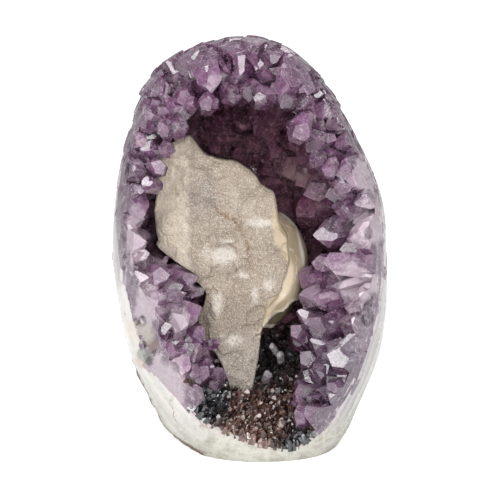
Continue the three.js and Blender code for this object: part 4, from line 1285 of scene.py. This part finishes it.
def build_blade():
    """The calcite blade, on rings round its middle: broad facets, a broken edge and a sugary crust."""
    rings, spokes = BLADE_RINGS, BLADE_SPOKES
    middle = np.array(BLADE_MIDDLE)
    corner = [(x - middle[0], v - middle[1]) for x, v in BLADE_OUTLINE]
    edge_at = outline_radius(corner)
    theta = np.arange(spokes) / spokes * TAU
    rim = edge_at(theta)
    around = np.stack([rim * np.cos(theta), rim * np.sin(theta), 0 * theta], -1)
    rim = rim + 0.5 * layered_noise(around, 6.0, 31, 3) + 0.45 * lattice_noise(around, 1.7, 35) - 0.2
    share = (np.arange(1, rings + 1) / rings) ** 0.85
    ring_x = np.outer(share, rim * np.cos(theta)) + middle[0]
    ring_v = np.outer(share, rim * np.sin(theta)) + middle[1]
    flat = np.stack([ring_x.ravel(), ring_v.ravel(), np.zeros(ring_x.size)], -1)
    flat = np.vstack([[*middle, 0.0], flat])
    share_all = np.concatenate([[0], np.repeat(share, spokes)])
    front = np.maximum(blade_front(flat[:, 0], flat[:, 1]), -BLADE_THICKNESS * 0.66)
    hollow = smoothstep(-23.0, -22.0, flat[:, 0]) * smoothstep(-12.0, -17.0, flat[:, 0]) \
        * smoothstep(8.0, 14.0, flat[:, 1]) * smoothstep(34.0, 28.0, flat[:, 1])
    front -= 1.1 * hollow
    for seed, size, height, cut in CLEAVAGE_STEPS:
        front -= height * smoothstep(cut - 0.05, cut + 0.05, layered_noise(flat, size, seed, 4))
    front -= 0.9 * smoothstep(0.965, 1.0, share_all) ** 1.5
    front += 0.3 * layered_noise(flat, 7.0, 41, 3) + 0.2 * np.abs(lattice_noise(flat, 0.9, 45)) \
        + 0.12 * lattice_noise(flat, 0.5, 46)
    back = -BLADE_THICKNESS + 0.9 * smoothstep(0.95, 1.0, share_all) + 0.2 * layered_noise(flat, 6.0, 51, 3)
    count = len(flat)
    top, under = flat.copy(), flat.copy()
    top[:, 2], under[:, 2] = front, back
    faces = []
    for side, turn in ((0, 1), (count, -1)):
        for k in range(spokes):
            n = (k + 1) % spokes
            faces.append([side, side + 1 + k, side + 1 + n][::turn])
            for r in range(rings - 1):
                a, b = side + 1 + r * spokes, side + 1 + (r + 1) * spokes
                faces.append([a + k, b + k, b + n, a + n][::turn])
    last = 1 + (rings - 1) * spokes
    for k in range(spokes):
        n = (k + 1) % spokes
        faces.append([last + k, count + last + k, count + last + n, last + n])
    laid = np.vstack([top, under])
    blade = mesh_from("calcite_blade_visual", blade_lift(laid), faces)
    vein = line_distance(RUST_VEIN, laid)
    ragged = layered_noise(laid, 3.0, 61, 3)
    rust = smoothstep(0.95, 0.2, vein + 0.5 * ragged)
    for (x, v), size in RUST_SPOTS:
        distance = np.hypot(laid[:, 0] - x, laid[:, 1] - v) / size
        rust = np.maximum(rust, smoothstep(1.2, 0.5, distance + 0.4 * ragged))
    attach(blade, "rust", rust)
    # A greyer, darker patch over the hollow right of the ridge: partly greyer calcite, partly painted shade in
    # the hollow.
    grey = np.exp(-((laid[:, 0] + 17) / 5.5) ** 2 - ((laid[:, 1] - 20) / 9.0) ** 2)
    attach(blade, "grey", grey * (0.75 + 0.35 * ragged))
    # The left facet, which the finish paints lighter as lit from the upper left.
    attach(blade, "lit_left_facet", smoothstep(-21.5, -24.0, laid[:, 0] + 0.8 * ragged))
    white = np.zeros(len(laid))
    for (x, v), (wide, tall) in WHITE_PATCHES:
        distance = np.hypot((laid[:, 0] - x) / wide, (laid[:, 1] - v) / tall)
        white = np.maximum(white, smoothstep(1.6, 0.1, distance + 0.7 * ragged))
    attach(blade, "white", white)
    smooth = outline_distance(BARE_CALCITE, laid) + 0.7 * ragged
    attach(blade, "glassy", smoothstep(0.5, -0.5, smooth))
    blade.shade_smooth()
    place_piece("calcite_blade_visual", blade, ["calcite_blade"], [SUGAR_CALCITE])


LOBE_CENTRE, LOBE_RADII = (5.0, -7.0, -9.0), (17.0, 22.5, 19.0)
LOBE_EDGE = [(12, 13.4), (17.3, 8.4), (20.0, -4.2), (20.2, -14), (19.2, -20)]
CRUMBLY_EDGE = [
    (3, -31), (6.5, -27), (10, -24), (13.7, -22), (16.7, -19), (20.5, -19),
]
CRUMBLY_FOOT = [(3, -30.5), (10, -31.5), (16, -29.5)]
LOBE_FACETS = [
    ((0.16, -0.06, 0.97), 0.86), ((0.72, 0.35, 0.6), 0.95), ((0.9, -0.3, 0.3), 0.97),
    ((0.3, -0.75, 0.6), 0.94), ((0.35, 0.8, 0.5), 0.96),
]


def build_lobe():
    """The glassy calcite lobe behind the blade."""
    directions, faces = sphere_directions(6)
    directions[:, 1] /= TALL
    directions = unit(directions)
    size = np.ones(len(directions))
    for normal, offset in LOBE_FACETS:
        along = np.maximum(directions @ unit(np.array(normal)), 1e-3)
        size = np.minimum(size, offset / along)
    size += 0.012 * layered_noise(directions * 20, 7.0, 71, 4)
    points = directions * size[:, None] * np.array(LOBE_RADII) * 0.995
    points[:, 1] *= 1 + 0.12 * smoothstep(-8, -22, points[:, 1])
    points += np.array(LOBE_CENTRE)
    rough = layered_noise(points, 2.6, 75, 3)
    broken = line_distance(CRUMBLY_EDGE, points)
    foot = line_distance(CRUMBLY_FOOT, points)
    crumbs = np.maximum(smoothstep(1.5, 0.7, broken + 0.6 * rough), smoothstep(1.0, 0.4, foot + 0.5 * rough))
    below = smoothstep(0.4, -0.4, outline_distance(CRUMBLY_EDGE + [(24, -40), (0, -40)], points))
    points += directions * (0.9 * crumbs * (0.4 + rough) - 1.6 * below)[:, None]
    laid = blade_unlift(points)
    under = smoothstep(2.4, -0.8, outline_distance(BLADE_OUTLINE, laid))
    limit = blade_front(laid[:, 0], laid[:, 1]) - 1.7
    laid[:, 2] = np.where(laid[:, 2] > limit, laid[:, 2] + under * (limit - laid[:, 2]), laid[:, 2])
    points = blade_lift(laid)
    lobe = mesh_from("calcite_lobe_visual", points, faces)
    attach(lobe, "crumbs", crumbs)
    attach(lobe, "olive", below * (1 - crumbs))
    edge = line_distance(LOBE_EDGE, points) + 0.25 * rough
    attach(lobe, "edge_line", smoothstep(0.9, 0.25, edge))
    lobe.shade_smooth()
    place_piece("calcite_lobe_visual", lobe, ["calcite_lobe"], [HONEY_CALCITE])


build_shell()
build_bed()
build_points()
build_druse()
build_needles()
build_blade()
build_lobe()


# ---------------------------------------------------------------- floor, light and camera
TABLE_HALF = 6.0
WALL_GLOW = 0.46
STONE_MIDDLE = (0, 0, 0.075)
# Name, place, width and height in metres, and power in watts.
SOFTBOXES = [
    ("key_softbox", (-0.62, -0.72, 0.62), (0.6, 0.6), 5.5),
    ("right_softbox", (0.8, -0.6, 0.3), (0.3, 0.8), 2.4),
    ("front_softbox", (0.12, -1.0, 0.42), (0.5, 0.4), 4.6),
    ("top_softbox", (0.05, -0.1, 0.95), (0.7, 0.6), 7.8),
]
LENS, CAMERA_PITCH, CAMERA_DISTANCE, CAMERA_TARGET = 120.0, math.radians(15), 0.628, (0, 0, 0.0685)


def build_floor():
    """A plain white table top."""
    material, bench = start_material("white_table")
    grain = bench.noise(bench.put("TexCoord")["Object"], 30.0, 3)
    seen = bench.put("LightPath")["Is Camera Ray"]
    finish_material(material, bench, {
        "Base Color": bench.mix(grain, (0.9, 0.9, 0.9), (0.93, 0.93, 0.93)), "Roughness": 0.7,
        "Emission Color": bench.mix(seen, (0, 0, 0), (1, 1, 1)), "Emission Strength": 0.55,
    })
    a = TABLE_HALF
    mesh = bpy.data.meshes.new("table_top")
    mesh.from_pydata([(-a, -a, 0), (a, -a, 0), (a, a, 0), (-a, a, 0)], [], [(0, 1, 2, 3)])
    mesh.materials.append(material)
    floor = bpy.data.objects.new("table_top", mesh)
    scene.collection.objects.link(floor)
    floor.location.z = -0.0002


def aim_at(holder, place, target):
    """Puts a light or the camera in its place and turns it to a target."""
    scene.collection.objects.link(holder)
    holder.location = place
    holder.rotation_euler = (Vector(target) - Vector(place)).to_track_quat("-Z", "Y").to_euler()


def build_light():
    """A white room: softboxes light the stone, and the bare walls behind show pure white."""
    world = bpy.data.worlds.new("white_room")
    world.use_nodes = True
    bench = Bench(world.node_tree)
    seen = bench.put("LightPath")["Is Camera Ray"]
    level = bench.put("MapRange", {0: seen, 3: WALL_GLOW, 4: 1.0})[0]
    bench.wire(world.node_tree.nodes["Background"], {0: (1, 1, 1), 1: level})
    scene.world = world
    for name, place, (wide, tall), power in SOFTBOXES:
        light = bpy.data.lights.new(name, "AREA")
        light.shape, light.size, light.size_y, light.energy = "RECTANGLE", wide, tall, power
        aim_at(bpy.data.objects.new(name, light), place, STONE_MIDDLE)
    scene.view_settings.view_transform = "Standard"
    scene.view_settings.look = "None"


def build_camera():
    camera = bpy.data.cameras.new("camera")
    camera.lens, camera.sensor_width = LENS, 36.0
    scene.camera = bpy.data.objects.new("camera", camera)
    back = Vector((0, -math.cos(CAMERA_PITCH), math.sin(CAMERA_PITCH)))
    aim_at(scene.camera, Vector(CAMERA_TARGET) + back * CAMERA_DISTANCE, CAMERA_TARGET)


build_floor()
build_light()
build_camera()
